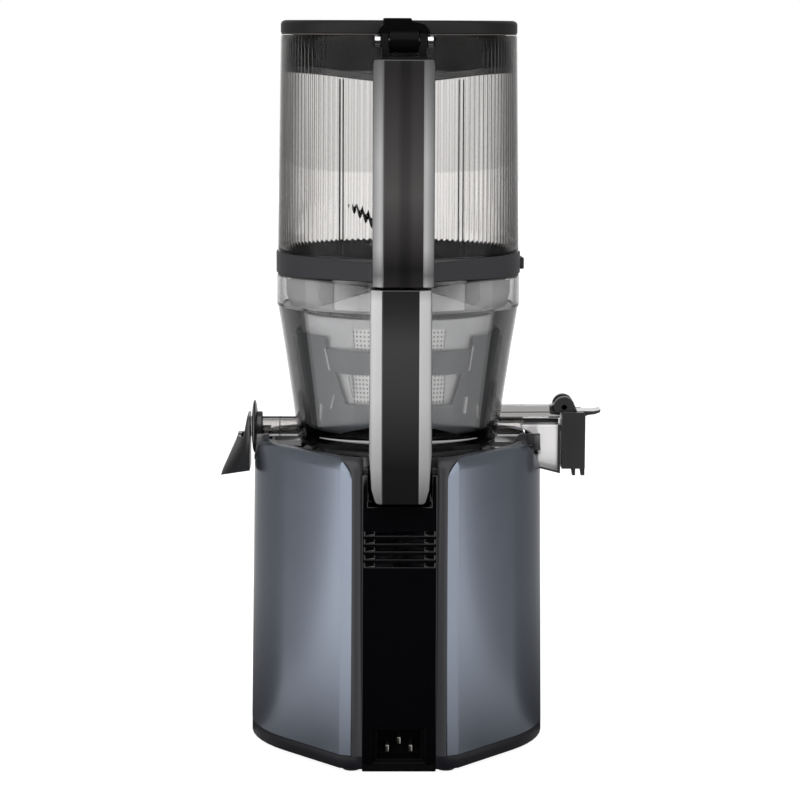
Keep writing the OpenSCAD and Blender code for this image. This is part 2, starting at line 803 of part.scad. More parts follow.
module dial_switch() {
    color([0.18, 0.18, 0.20]) difference() {
        block([-14, dial_back - switch_t, dial_z - 14], [14, dial_back, dial_z + 14]);
        translate([0, dial_back + 1, dial_z]) rotate([90, 0, 0])
            cylinder(r = dial_shaft_r + run_fit, h = switch_t - 1);
    }
}

module control_dial() {
    color([0.20, 0.20, 0.21]) translate([0, 0, dial_z]) rotate([-90, 0, 0]) difference() {
        union() {
            translate([0, 0, dial_back + 2.6])
                cylinder(r = dial_r, h = base_r + dial_proud - dial_back - 2.6);
            translate([0, 0, dial_back - 9]) cylinder(r = dial_shaft_r, h = 13);
        }
        translate([-1.2, -dial_r - 1, base_r + dial_proud - 1]) cube([2.4, dial_r - 4, 2]);
    }
}

// ---- Turning parts of the base -------------------------------------------------------

module motor_shaft() {
    color([0.78, 0.78, 0.80]) translate([motor_at[0], motor_at[1], 0]) {
        translate([0, 0, cradle_z]) cylinder(r = shaft_r, h = case_z + case_floor + 1 - cradle_z);
        translate([0, 0, case_z + case_floor]) cylinder(r = neck_r, h = level_one - case_z - case_floor);
        gear(m_one, t_motor, motor_phase, level_one - 1, face_one + 2);
    }
}

module motor_rotor() {
    color([0.50, 0.50, 0.52]) translate([motor_at[0], motor_at[1], stack_z - 4]) difference() {
        union() {
            translate([0, 0, 4]) cylinder(r = rotor_r, h = stack_h);
            cylinder(r = rotor_r - 3, h = stack_h + 8);
        }
        translate([0, 0, -1]) cylinder(r = shaft_r, h = stack_h + 20);
    }
}

fan_blades = 9;

module cooling_fan() {
    color([0.16, 0.16, 0.17]) translate([motor_at[0], motor_at[1], fan_z]) difference() {
        union() {
            cylinder(r = shaft_r + 4, h = fan_h);
            cylinder(r = fan_r, h = 1.6);
            for (i = [0 : fan_blades - 1]) rotate([0, 0, i * 360 / fan_blades])
                translate([shaft_r + 2, 0, 0]) rotate([0, 0, 18])
                    block([0, -0.8, 0.8], [fan_r - shaft_r - 6, 0.8, fan_h - 1]);
        }
        translate([0, 0, -1]) cylinder(r = shaft_r, h = fan_h + 2);
    }
}

module first_gear() {
    color([0.90, 0.89, 0.84]) translate([first_at[0], first_at[1], 0]) difference() {
        union() {
            gear(m_one, t_first, first_phase, level_one, face_one);
            gear(m_two, t_first_small, first_small_phase, level_one + face_one,
                level_three - 0.7 - level_one - face_one);
            translate([0, 0, case_z + case_floor + rest_gap])
                cylinder(r = axle_r + hub_wall, h = level_one - case_z - case_floor - rest_gap);
        }
        translate([0, 0, case_z]) cylinder(r = axle_r + run_fit, h = 60);
    }
}

module second_gear() {
    color([0.88, 0.86, 0.80]) translate([second_at[0], second_at[1], 0]) difference() {
        union() {
            gear(m_two, t_second, second_phase, level_two, face_two);
            gear(m_three, t_second_small, second_small_phase, level_two + face_two, face_three + 1.5);
            translate([0, 0, case_z + case_floor + rest_gap])
                cylinder(r = axle_r + hub_wall, h = level_two - case_z - case_floor - rest_gap);
        }
        translate([0, 0, case_z]) cylinder(r = axle_r + run_fit, h = 60);
    }
}

module output_gear() {
    color([0.74, 0.75, 0.77]) difference() {
        gear(m_three, t_output, output_phase, level_three, face_three);
        translate([0, 0, level_three - 1]) cylinder(r = drive_r, h = face_three + 2);
    }
}

hex_top = screw_z - 1;

module hexagon(flats, z, h) {
    plate([for (a = [0 : 60 : 300]) flats / cos(30) / 2 * [cos(a), sin(a)]], z, h);
}

module drive_shaft() {
    color([0.80, 0.80, 0.82]) {
        translate([0, 0, case_z + 1 + rest_gap]) cylinder(r = drive_r - 2, h = case_floor);
        translate([0, 0, case_z + case_floor + rest_gap])
            cylinder(r = drive_r, h = deck_z - case_z - case_floor - rest_gap);
        hexagon(hex_flats, deck_z, hex_top - deck_z);
    }
}

// ---- Bowl ----------------------------------------------------------------------------

// Wall of revolution between two height-radius profiles
module turned(outer, inner) {
    rotate_extrude() polygon(concat(outer, [for (i = [len(inner) - 1 : -1 : 0]) inner[i]]));
}

function inset_profile(profile, w) = [for (p = profile) [p[0] - w, p[1]]];

// Both side tubes, starting from where they leave the bowl's wall
module bowl_tubes(r, start, extra) {
    translate([-tube_out_x - extra, 0, tube_z]) rotate([0, 90, 0])
        cylinder(r = r, h = tube_out_x - start + extra);
    translate([start, 0, tube_z]) rotate([0, 90, 0]) cylinder(r = r, h = spout_inner_x - start + extra);
}

tube_start = bowl_inner(tube_z) + 0.5;
ledge_angles = [30, 150, 270];
ledge_out = 3.2;
ledge_h = 5;
ledge_half = 5;
lug_z = collar_top - 6;
lug_t = 2.5;
lug_r = bowl_inner(lug_z) - rest_gap;

module juice_bowl() {
    inner = inset_profile(bowl_profile, bowl_wall);
    color([0.45, 0.45, 0.46, 0.45]) difference() {
        union() {
            turned(bowl_profile, inner);
            translate([0, 0, floor_z]) cylinder(r = bowl_foot_r - bowl_wall + 0.8, h = bowl_floor);
            translate([0, 0, seat_z + 0.5]) cylinder(r = hub_r + 3, h = floor_top - seat_z - 0.5);
            bowl_tubes(tube_r, tube_start, 0);
            difference() {
                plate(band_plan(0), band_z, bowl_top - band_z);
                plate(band_plan(bowl_wall + band_step), band_z - 1, bowl_top - band_z - 2);
                translate([0, 0, band_z - 1]) cylinder(r = bowl_r - bowl_wall, h = bowl_top);
            }
            intersection() {
                difference() {
                    plate(band_plan(0.2), bowl_top - 3, 3 + key_h);
                    translate([0, 0, band_z]) cylinder(r = bowl_r - bowl_wall, h = big);
                }
                block([-key_half, -bowl_back, bowl_top - 3], [key_half, -40, bowl_top + key_h]);
            }
            for (a = ledge_angles) rotate([0, 0, a])
                block([bowl_inner(lug_z) - ledge_out, -ledge_half, lug_z - ledge_h],
                    [bowl_inner(lug_z) + 1, ledge_half, lug_z]);
            front_plate(arm_outline, -cap_ear_in + 0.3, cap_ear_in - 0.3);
            translate([cap_pin_at[0], cap_ear_in - 0.3, cap_pin_at[1]]) rotate([90, 0, 0])
                cylinder(r = cap_knuckle_r - 0.6, h = 2 * cap_ear_in - 0.6);
        }
        bowl_tubes(tube_r - tube_wall, tube_start - 8, 1);
        translate([0, 0, seat_z]) cylinder(r = seal_bore_r, h = 20);
        for (x = [-idler_reach, idler_reach]) translate([x, 0, floor_top - 2])
            cylinder(r = idler_pin_r, h = 10);
        translate([cap_pin_at[0], 20, cap_pin_at[1]]) rotate([90, 0, 0]) cylinder(r = cap_pin_r, h = 40);
        front_plate([[-tube_out_x - 8, tube_z - 19], [-tube_out_x, tube_z - tube_r],
            [-tube_lip_x, tube_z + tube_r], [4.7 - tube_lip_x, tube_z + 21],
            [-tube_out_x - 8, tube_z + 21]], -20, 20);
    }
}

seal_bore_r = drive_r + 3;
idler_pin_r = 2.5;
arm_low = cap_pin_at[1] - 6.3;
arm_high = cap_pin_at[1] + 0.5;
arm_x = bowl_inner(arm_high) + 0.8;
arm_outline = [[arm_x, arm_low], [cap_pin_at[0] - 10.4, arm_low],
    [cap_pin_at[0] - 6.4, cap_pin_at[1] - 3.4], [cap_pin_at[0] - 1, cap_pin_at[1] - 3],
    [cap_pin_at[0] - 1, cap_pin_at[1] + 3], [cap_pin_at[0] - 8.4, arm_high], [arm_x, arm_high]];

// Section of a handle bar in plan, with slanted cheeks on both sides of a flat middle
function grip_plan(y) = [[-grip_half - 1, -y + grip_t - 2], [-grip_half - 1, -y + 4.6],
    [-grip_flat_half, -y], [grip_flat_half, -y], [grip_half + 1, -y + 4.6],
    [grip_half + 1, -y + grip_t - 2], [grip_half - 2, -y + grip_t], [2 - grip_half, -y + grip_t]];

// Rounded foot of the lower handle bar: offset from its half width, and height
grip_foot = [[-4.1, 0], [-2.9, 1.4], [-0.9, 8], [0.5, 28]];
grip_pocket_half = 8;

module bowl_handle() {
    low = recess_z + 2.8;
    right = [for (p = grip_foot) [grip_half + p[0], low + p[1]]];
    left = [for (i = [len(right) - 1 : -1 : 0]) [-right[i][0], right[i][1]]];
    face = concat(right, [[grip_half, bowl_top], [-grip_half, bowl_top]], left);
    color([0.20, 0.20, 0.21]) difference() {
        intersection() {
            plate(grip_plan(grip_y), low, bowl_top - low);
            front_plate(face, -grip_y - 1, -bowl_back);
        }
        block([-grip_pocket_half, -grip_y + 3, low + 20], [grip_pocket_half, -bowl_back + 1, band_z - 4]);
    }
}

module bowl_drive_seal() {
    color([0.72, 0.30, 0.22]) translate([0, 0, seat_z + 0.6])
        tube(seal_bore_r, drive_r + rest_gap, floor_top - seat_z - 0.6);
}

module idler_pins() {
    color([0.80, 0.80, 0.82]) for (x = [-idler_reach, idler_reach])
        translate([x, 0, floor_top - 2]) cylinder(r = idler_pin_r, h = gear_face + 3);
}

// Straight line between the foot and the top of the wiper cage: radius at a height
function cage_r(z) = cage_foot_r + (cage_top_r - cage_foot_r) * (z - gear_z) / (cage_top - gear_z);
function strainer_r(z) = cage_r(z) - cage_wall - cage_gap;

// Cone between two heights whose radius follows the strainer, less an inset
module strainer_cone(low, high, inset) {
    translate([0, 0, low])
        cylinder(r1 = strainer_r(low) - inset, r2 = strainer_r(high) - inset, h = high - low);
}

mesh_low = strainer_z + 6;
mesh_high = cage_top - 3;
strainer_bays = 12;

module strainer_frame() {
    collar_r = strainer_r(cage_top);
    floor_at = strainer_z + strainer_floor;
    color([0.42, 0.43, 0.45]) difference() {
        union() {
            rotate_extrude() polygon([[hub_r + 4, strainer_z], [strainer_r(strainer_z), strainer_z],
                [collar_r, cage_top], [collar_r, collar_top], [collar_r - strainer_wall, collar_top],
                [collar_r - strainer_wall, cage_top],
                [strainer_r(floor_at) - strainer_wall, floor_at], [hub_r + 4, floor_at]]);
            for (a = ledge_angles) rotate([0, 0, a]) translate([0, 0, lug_z]) intersection() {
                block([collar_r - 1.5, -ledge_half - 1, 0], [lug_r, ledge_half + 1, lug_t]);
                cylinder(r = lug_r, h = lug_t);
            }
        }
        for (i = [0 : strainer_bays - 1]) rotate([0, 0, i * 360 / strainer_bays + 15])
            for (z = [mesh_low : bay_h + 2.5 : mesh_high - bay_h])
                block([strainer_r(mesh_low) * 0.6, -bay_half, z], [cage_top_r + 10, bay_half, z + bay_h]);
    }
}

bay_half = 11;
bay_h = 22;

module strainer_mesh() {
    color([0.72, 0.72, 0.70]) difference() {
        strainer_cone(mesh_low - 2, mesh_high + 2, strainer_wall);
        strainer_cone(mesh_low - 3, mesh_high + 3, strainer_wall + mesh_t);
    }
}

module juice_spout() {
    color([0.70, 0.70, 0.70, 0.5]) difference() {
        front_plate([[spout_inner_x, spout_saddle], [outside_x, spout_saddle], [outside_x, spout_low + 1.2],
            [spout_x, spout_low], [spout_x, spout_top], [spout_inner_x, spout_top]],
            -spout_w / 2, spout_w / 2);
        block([outside_x + spout_wall, spout_wall - spout_w / 2, spout_low + 2 * spout_wall],
            [spout_x + 1, spout_w / 2 - spout_wall, spout_top - spout_wall]);
        along_x(spout_inner_x - 1) translate([-tube_z, 0, 0])
            cylinder(r = tube_r - tube_wall, h = outside_x - spout_inner_x + 1 + 2 * spout_wall);
    }
}

module cap_pin() {
    color([0.62, 0.62, 0.63]) translate([cap_pin_at[0], cap_ear_out, cap_pin_at[1]]) rotate([90, 0, 0])
        cylinder(r = cap_pin_r, h = 2 * cap_ear_out);
}

chute_lip_x = outside_x + 17.5;
chute_bend_x = outside_x + 7.9;

module pulp_chute() {
    color([0.12, 0.12, 0.13]) difference() {
        front_plate([[-outside_x, chute_low + 2.6], [-chute_lip_x, chute_low], [-chute_bend_x, chute_step_z],
            [1 - chute_bend_x, chute_top], [-outside_x, chute_top]], -chute_half, chute_half);
        front_plate([[-outside_x - chute_wall, chute_low - 11], [-chute_lip_x - 3.4, chute_low - 11],
            [chute_wall - chute_lip_x, chute_low], [chute_wall - chute_bend_x, chute_step_z - 1],
            [chute_wall + 1 - chute_bend_x, chute_step_z + 3.4],
            [-outside_x - chute_wall, chute_step_z + 3.4]], chute_wall - chute_half, chute_half - chute_wall);
        translate([-tube_out_x - 8, 0, tube_z]) rotate([0, 90, 0]) cylinder(r = tube_r, h = 30);
        front_plate([[-chute_lip_x - 3.4, chute_cut_z], [4 - chute_bend_x, chute_cut_z],
            [7 - chute_bend_x, chute_top + 3.6], [-chute_lip_x - 3.4, chute_top + 3.6]],
            -chute_half - 1, chute_half + 1);
    }
}

// ---- Wiper and its gears -------------------------------------------------------------

wiper_windows = 6;

module cage_window(low, high, half_angle) {
    half = cage_r((low + high) / 2) * sin(half_angle);
    for (i = [0 : wiper_windows - 1]) rotate([0, 0, i * 360 / wiper_windows + 30])
        block([cage_foot_r * 0.8, -half, low], [cage_top_r + 10, half, high]);
}

module wiper_frame() {
    color([0.20, 0.21, 0.23]) difference() {
        union() {
            difference() {
                translate([0, 0, gear_z]) cylinder(r1 = cage_foot_r, r2 = cage_top_r, h = cage_top - gear_z);
                translate([0, 0, gear_z + gear_face + 1]) cylinder(
                    r1 = cage_r(gear_z + gear_face + 1) - cage_wall, r2 = cage_r(cage_top + 1) - cage_wall,
                    h = cage_top - gear_z - gear_face);
            }
        }
        plate(gear_outline(m_bowl, t_ring, ring_phase, dedendum, addendum, -backlash),
            gear_z - 1, gear_face + 20);
        cage_window(gear_z + 18.4, gear_z + 35.4, 20);
        cage_window(cage_top - 12.6, cage_top - 2.1, 21.4);
    }
}

blade_w = 2.4;
blade_reach = 3.2;

module wiper_blades() {
    low = gear_z + 4;
    high = cage_top - 4;
    color([0.75, 0.76, 0.78]) for (a = [0, 180]) rotate([0, 0, a])
        translate([0, blade_w / 2, 0]) rotate([90, 0, 0]) linear_extrude(blade_w) polygon([
            [cage_r(low), low], [cage_r(high), high], [cage_r(high) + blade_reach, high],
            [cage_r(low) + blade_reach, low]]);
}

module idler(x, phase) {
    color([0.88, 0.87, 0.83]) translate([x, 0, 0]) difference() {
        gear(m_bowl, t_idler, phase, gear_z, gear_face);
        translate([0, 0, gear_z - 1]) cylinder(r = idler_pin_r + run_fit, h = 10);
    }
}

module idler_gear_left() {
    idler(-idler_reach, idler_phase);
}

module idler_gear_right() {
    idler(idler_reach, idler_phase);
}

// ---- Screw ---------------------------------------------------------------------------

// Angles round the screw, from the thread's leading edge, and how far each stands out
thread_shape = [[0, 1], [5, 1], [9, 0.25], [14, 0.04], [30, 0], [60, 0], [90, 0], [120, 0], [150, 0],
    [180, 0], [210, 0], [240, 0], [270, 0], [300, 0], [330, 0], [346, 0.04], [351, 0.25]];
screw_rings = 72;
core_top = 24;

function thread_r(z) = min(strainer_r(min(z, cage_top)) - strainer_wall - mesh_t - screw_gap,
    screw_core + (screw_top - z) * 1.9 + 9);

function screw_ring(z) =
    let (core = screw_core + (core_top - screw_core) * (1 - (z - screw_z) / (screw_top - screw_z)),
         turn = -360 * (z - screw_z) / screw_pitch, edge = max(thread_r(z), core + 0.5))
    [for (s = thread_shape) let (r = core + (edge - core) * s[1], a = turn + s[0])
        [r * cos(a), r * sin(a), z]];

module auger_screw() {
    n = len(thread_shape);
    step = (screw_top - screw_z) / screw_rings;
    last = screw_rings * n;
    color([0.16, 0.16, 0.17]) polyhedron(
        points = [for (j = [0 : screw_rings]) each screw_ring(screw_z + j * step)],
        faces = concat(
            [[for (i = [0 : n - 1]) i]],
            [for (j = [0 : screw_rings - 1], i = [0 : n - 1], half = [0, 1])
                let (a = j * n + i, b = j * n + (i + 1) % n, c = b + n, d = a + n)
                half == 0 ? [a, d, b] : [b, d, c]],
            [[for (i = [n - 1 : -1 : 0]) last + i]]));
}

module auger_drive_gear() {
    color([0.86, 0.85, 0.82]) difference() {
        union() {
            gear(m_bowl, t_sun, 0, gear_z, gear_face);
            translate([0, 0, gear_z]) cylinder(r = hub_r, h = screw_z - gear_z);
        }
        hexagon(hex_flats + 2 * hex_fit, gear_z - 1, hex_top + 0.4 - gear_z + 1);
    }
}

module cutting_wing() {
    color([0.08, 0.08, 0.09]) {
        translate([0, 0, screw_top]) cylinder(r1 = screw_core, r2 = screw_core - 3, h = 7);
        hull() {
            translate([-6, 0, screw_top + 2]) cylinder(r = 6, h = 1, $fn = 24);
            translate([-24, -10, screw_top + 4]) cylinder(r = 7, h = 2, $fn = 24);
            translate([-22, -18, wing_top - 2]) sphere(r = 2, $fn = 16);
        }
    }
}

// ---- Outlet fittings -----------------------------------------------------------------

module juice_cap() {
    half = spout_w / 2 + 1.5;
    color([0.13, 0.13, 0.14]) difference() {
        union() {
            front_plate([[cap_x, cap_low], [cap_x + cap_t, cap_low], [cap_x + cap_t, cap_high - 2],
                [cap_x + cap_t - 2, cap_high], [cap_x, cap_high]], -half, half);
            front_plate([[cap_x + 9.2, cap_high - 1], [cap_x + lever_reach, cap_high - 0.4],
                [cap_x + lever_reach, cap_high + 1.6], [cap_x + 9.2, cap_high + 2.6]],
                -lever_half, lever_half);
            for (y = [-cap_ear_out, cap_ear_in]) {
                translate([cap_pin_at[0], y + cap_ear_out - cap_ear_in, cap_pin_at[1]]) rotate([90, 0, 0])
                    cylinder(r = cap_knuckle_r, h = cap_ear_out - cap_ear_in);
                front_plate([[cap_pin_at[0] - 0.9, cap_high - 2], [cap_pin_at[0] + 7.6, cap_high - 2],
                    [cap_pin_at[0] + 4.8, cap_pin_at[1]], [cap_pin_at[0] - 0.9, cap_pin_at[1]]],
                    y, y + cap_ear_out - cap_ear_in);
            }
            for (x = [cap_x + 8.6, cap_x + 12.6])
                block([x, -half + 2, cap_low - 3.8], [x + prong_t, -half + 6, cap_low + 1]);
        }
        block([cap_x + cap_wall, cap_wall - half, cap_low + cap_wall],
            [cap_x + cap_t + 1, half - cap_wall, cap_high - 3]);
        translate([cap_pin_at[0], 20, cap_pin_at[1]]) rotate([90, 0, 0])
            cylinder(r = cap_pin_r + run_fit, h = 40);
        translate([cap_pin_at[0], cap_ear_in, cap_pin_at[1]]) rotate([90, 0, 0])
            cylinder(r = cap_knuckle_r, h = 2 * cap_ear_in);
    }
}

module cap_seal() {
    color([0.55, 0.55, 0.54]) difference() {
        block([spout_x + rest_gap, 3 - spout_w / 2, cap_low + 2.7], [cap_x, spout_w / 2 - 3, cap_high - 10]);
        block([spout_x, 5 - spout_w / 2, cap_low + 4.7], [cap_x + 1, spout_w / 2 - 5, cap_high - 12]);
    }
}

module pulp_ring() {
    color([0.08, 0.08, 0.09]) translate([-ring_x - ring_t, 0, tube_z]) rotate([0, 90, 0]) difference() {
        union() {
            cylinder(r = pulp_ring_r, h = ring_t);
            translate([0, 0, ring_t]) cylinder(r = tube_r + 3, h = 3);
        }
        translate([0, 0, -1]) cylinder(r = tube_r + run_fit, h = 12);
    }
}

// ---- Hopper --------------------------------------------------------------------------

module hopper_wall() {
    color([0.55, 0.54, 0.52, 0.45]) difference() {
        translate([0, 0, ring_top])
            cylinder(r1 = hopper_foot_r, r2 = hopper_top_r, h = hopper_top - ring_top);
        translate([0, 0, ring_top - 1]) cylinder(r = hopper_bore_r, h = big);
    }
}

tab_half = 7;

module hopper_ring() {
    color([0.24, 0.25, 0.26]) difference() {
        plate(ring_plan(0), ring_z, ring_h);
        translate([0, 0, ring_z - 1]) cylinder(r = hopper_bore_r, h = ring_h + 2);
        difference() {
            plate(ring_plan(3), ring_z - 1, ring_h - 2);
            translate([0, 0, ring_z - 2]) cylinder(r = ring_r - 0.2, h = ring_h + 4);
        }
        block([-key_half - key_gap, -bowl_back - 1, ring_z - 1],
            [key_half + key_gap, key_front, bowl_top + key_h + rest_gap]);
    }
    color([0.24, 0.25, 0.26]) rotate([0, 0, 4])
        block([ring_r - 0.8, -tab_half, ring_z + 2], [ring_r + 2.2, tab_half, ring_z + 9]);
}

module hopper_skirt() {
    outer = [[collar_low_r, band_z], [collar_high_r, band_z + 7.9], [collar_high_r, ring_z]];
    color([0.22, 0.22, 0.23]) difference() {
        turned(outer, inset_profile(outer, collar_wall));
        block([1.5 - key_half, -bowl_r - 7, band_z + 2.3], [key_half - 1.5, -bowl_r / 2, ring_z - 1.9]);
    }
}

module hopper_seal() {
    color([0.62, 0.62, 0.62]) difference() {
        translate([0, 0, bowl_top + rest_gap]) tube(bowl_r - 0.6, bowl_r - 4, ring_z - bowl_top - rest_gap);
        block([-key_half - key_gap, -bowl_back, bowl_top], [key_half + key_gap, key_front, ring_z + 1]);
    }
}

module hopper_handle() {
    color([0.24, 0.24, 0.25]) difference() {
        union() {
            intersection() {
                plate(grip_plan(grip_y), ring_z + 0.4, hinge_z - ring_z - 0.4);
                block([-grip_half, -grip_y - 1, ring_z], [grip_half, -bowl_back, hinge_z]);
            }
            block([-ear_half, -bowl_back, bridge_z], [ear_half, 6.3 - hopper_foot_r, hinge_z - 8]);
            translate([-ear_half, hinge_y, hinge_z]) rotate([0, 90, 0]) cylinder(r = ear_r, h = 2 * ear_half);
        }
        translate([0, 0, bridge_z - 1]) cylinder(r = hopper_foot_r, h = 60);
        block([-knuckle_half - ear_gap, -grip_y - 1, hinge_slot_z],
            [knuckle_half + ear_gap, hinge_y + 18, hinge_z + 20]);
        both_sides() {
            block([knuckle_half, -grip_y - 1, hinge_z - 7], [grip_half + 1, hinge_y - ear_r, hinge_z + 20]);
            block([ear_half, -grip_y - 1, hinge_z - 7], [grip_half + 1, hinge_front, hinge_z + 20]);
            block([knuckle_half, hinge_y + ear_r, hinge_z - 7], [grip_half + 1, hinge_front, hinge_z + 20]);
        }
        translate([-20, hinge_y, hinge_z]) rotate([0, 90, 0]) cylinder(r = pin_r, h = 40);
        translate([0, rod_y, ring_z + 6]) cylinder(r = rod_r + slide_gap, h = hinge_slot_z - ring_z - 9);
    }
}

module hinge_pin() {
    color([0.82, 0.82, 0.84]) translate([-ear_half - 0.8, hinge_y, hinge_z]) rotate([0, 90, 0]) {
        cylinder(r = pin_r, h = 2 * ear_half + 1.6);
    }
}

module interlock_rod() {
    color([0.10, 0.10, 0.11]) translate([0, rod_y, 0]) {
        translate([0, 0, rod_z - rod_head_h]) cylinder(r = rod_r, h = rod_head_h);
        translate([0, 0, rod_z]) cylinder(r = rod_r - 0.6, h = rod_top - rod_z);
    }
}

// ---- Lid -----------------------------------------------------------------------------

module lid_panel() {
    color([0.18, 0.18, 0.18]) difference() {
        union() {
            translate([0, 0, lid_z]) cylinder(r = hopper_top_r, h = lid_t - lid_bevel);
            translate([0, 0, lid_top - lid_bevel])
                cylinder(r1 = hopper_top_r, r2 = hopper_top_r - 2, h = lid_bevel);
            block([-knuckle_half, hinge_y - 2, hinge_z], [knuckle_half, hinge_front, lid_top]);
            front_plate([[-boss_half, hinge_z + 6.4], [boss_half, hinge_z + 6.4], [boss_half, lid_top - 3],
                [boss_half - 4, lid_top + boss_rise], [4 - boss_half, lid_top + boss_rise],
                [-boss_half, lid_top - 3]], hinge_y - 1, hinge_front);
            translate([-knuckle_half, hinge_y, hinge_z]) rotate([0, 90, 0])
                cylinder(r = knuckle_r, h = 2 * knuckle_half);
        }
        translate([-20, hinge_y, hinge_z]) rotate([0, 90, 0]) cylinder(r = pin_r + run_fit, h = 40);
        block([-knuckle_half - 1, hinge_y + 8, hinge_z - 10], [knuckle_half + 1, -hopper_top_r / 2, lid_z]);
    }
}

module lid_skirt() {
    color([0.20, 0.20, 0.20, 0.8]) translate([0, 0, lid_z - skirt_h])
        tube(skirt_r, skirt_r - skirt_wall, skirt_h);
}

module lid_seal() {
    color([0.30, 0.30, 0.30]) translate([0, 0, hopper_top + rest_gap])
        tube(hopper_top_r - 0.4, hopper_bore_r + 0.3, lid_z - hopper_top - rest_gap);
}

// ---- Drawing -------------------------------------------------------------------------

base_plate();
feet();
outer_shell();
spine_frame();
rear_spine();
top_deck();
deck_seal();
power_inlet();
inlet_pins();
control_board();
run_capacitor();
case_screws();
motor_cradle();
motor_dampers();
motor_stator();
motor_coils();
gearbox_case();
gearbox_lid();
gear_axles();
output_bearings();
gearbox_screws();
dial_bezel();
dial_switch();
control_dial();
motor_shaft();
motor_rotor();
cooling_fan();
first_gear();
second_gear();
output_gear();
drive_shaft();
juice_bowl();
bowl_handle();
bowl_drive_seal();
idler_pins();
strainer_frame();
strainer_mesh();
juice_spout();
cap_pin();
pulp_chute();
wiper_frame();
wiper_blades();
idler_gear_left();
idler_gear_right();
auger_screw();
auger_drive_gear();
cutting_wing();
juice_cap();
cap_seal();
pulp_ring();
hopper_wall();
hopper_ring();
hopper_skirt();
hopper_seal();
hopper_handle();
hinge_pin();
interlock_rod();
lid_panel();
lid_skirt();
lid_seal();
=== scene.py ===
import math

import bmesh
import bpy
from mathutils import Matrix, Vector


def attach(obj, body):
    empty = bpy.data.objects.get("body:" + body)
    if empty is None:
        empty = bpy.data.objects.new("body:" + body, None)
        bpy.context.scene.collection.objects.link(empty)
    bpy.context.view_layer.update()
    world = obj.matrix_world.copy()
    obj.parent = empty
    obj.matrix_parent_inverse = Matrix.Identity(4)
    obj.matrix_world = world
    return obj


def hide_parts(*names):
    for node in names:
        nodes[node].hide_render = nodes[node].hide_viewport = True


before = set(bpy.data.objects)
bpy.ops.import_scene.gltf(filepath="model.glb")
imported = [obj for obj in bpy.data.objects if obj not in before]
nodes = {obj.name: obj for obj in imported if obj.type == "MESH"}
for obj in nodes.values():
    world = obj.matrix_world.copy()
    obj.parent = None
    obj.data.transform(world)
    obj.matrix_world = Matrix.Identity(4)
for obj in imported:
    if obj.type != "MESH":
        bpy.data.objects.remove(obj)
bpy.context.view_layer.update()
scene = bpy.context.scene

# ---- Studio -----------------------------------------------------------------------------
# A white sweep behind the machine, bright screens on both sides of the camera, dark behind the
# camera and dark flags between the screens and the sweep. Polished faces see this studio.

CAMERA_DISTANCE = 1.650
CAMERA_HEIGHT = 0.430
CAMERA_ASIDE = 0.0014
CAMERA_TILT = 7.765
CAMERA_ROLL = 0.23
CAMERA_ROUND = 0.9
LENS = 123.75
FILM_WIDTH = 36.0

camera = bpy.data.objects.new("camera", bpy.data.cameras.new("camera"))
scene.collection.objects.link(camera)
camera.data.lens = LENS
camera.data.sensor_width = FILM_WIDTH
way_round = Matrix.Rotation(math.radians(-CAMERA_ROUND), 4, "Z")
camera.location = way_round @ Vector((CAMERA_ASIDE, -CAMERA_DISTANCE, CAMERA_HEIGHT))
camera.rotation_euler = (
    way_round
    @ Matrix.Rotation(math.radians(90 - CAMERA_TILT), 4, "X")
    @ Matrix.Rotation(math.radians(CAMERA_ROLL), 4, "Z")
).to_euler()
scene.camera = camera
scene.view_settings.view_transform = "Standard"

STUDIO = [  # how far round towards the sweep, from 0 behind the camera to 1, and the light there
    (0.00, 0.015), (0.018, 0.02), (0.035, 2.1), (0.06, 2.7), (0.13, 2.6), (0.18, 2.0), (0.22, 2.2),
    (0.26, 2.4), (0.455, 2.6), (0.482, 2.2), (0.50, 1.1), (0.53, 0.60), (0.59, 0.43), (0.68, 0.39),
    (0.82, 0.37), (0.93, 0.40), (0.965, 0.6), (0.985, 1.0),
]
LEFT_SHARE = 0.12  # the left side is lit this much more than the middle, the right side less


def node_tree(owner):
    owner.use_nodes = True
    owner.node_tree.nodes.clear()
    return owner.node_tree.nodes, owner.node_tree.links


def maths(made, link, operation, *values):
    """The result of a sum whose values are numbers or sockets."""
    node = made.new("ShaderNodeMath")
    node.operation = operation
    for entry, value in zip(node.inputs, values):
        if isinstance(value, bpy.types.NodeSocket):
            link.new(value, entry)
        else:
            entry.default_value = value
    return node.outputs[0]


def spanned(made, link, value, low, high, to_low=0.0, to_high=1.0):
    """Carries a value from the span low to high over to the span to_low to to_high."""
    span = made.new("ShaderNodeMapRange")
    for name, number in zip(("From Min", "From Max", "To Min", "To Max"), (low, high, to_low, to_high)):
        span.inputs[name].default_value = number
    link.new(value, span.inputs[0])
    return span.outputs[0]


def graded(made, link, value, stops):
    """A grey read off stops of (place from 0 to 1, level)."""
    ramp = made.new("ShaderNodeValToRGB")
    steps = ramp.color_ramp.elements
    steps[0].position, steps[-1].position = stops[0][0], stops[-1][0]
    for place, _ in stops[1:-1]:
        steps.new(place)
    for step, (_, level) in zip(steps, stops):
        step.color = (level, level, level, 1)
    link.new(value, ramp.inputs[0])
    return ramp.outputs[0]


def studio_level(made, link, vector):
    """Light of the studio round the machine, for a direction or a place on the floor."""
    axis = made.new("ShaderNodeSeparateXYZ")
    link.new(vector, axis.inputs[0])
    level = made.new("ShaderNodeVectorMath")
    level.operation = "SCALE"
    half_turn = maths(made, link, "MULTIPLY_ADD", axis.outputs["Y"], 0.5, 0.5)
    link.new(graded(made, link, half_turn, STUDIO), level.inputs[0])
    link.new(maths(made, link, "MULTIPLY_ADD", axis.outputs["X"], -LEFT_SHARE, 1.0), level.inputs["Scale"])
    return level.outputs[0]


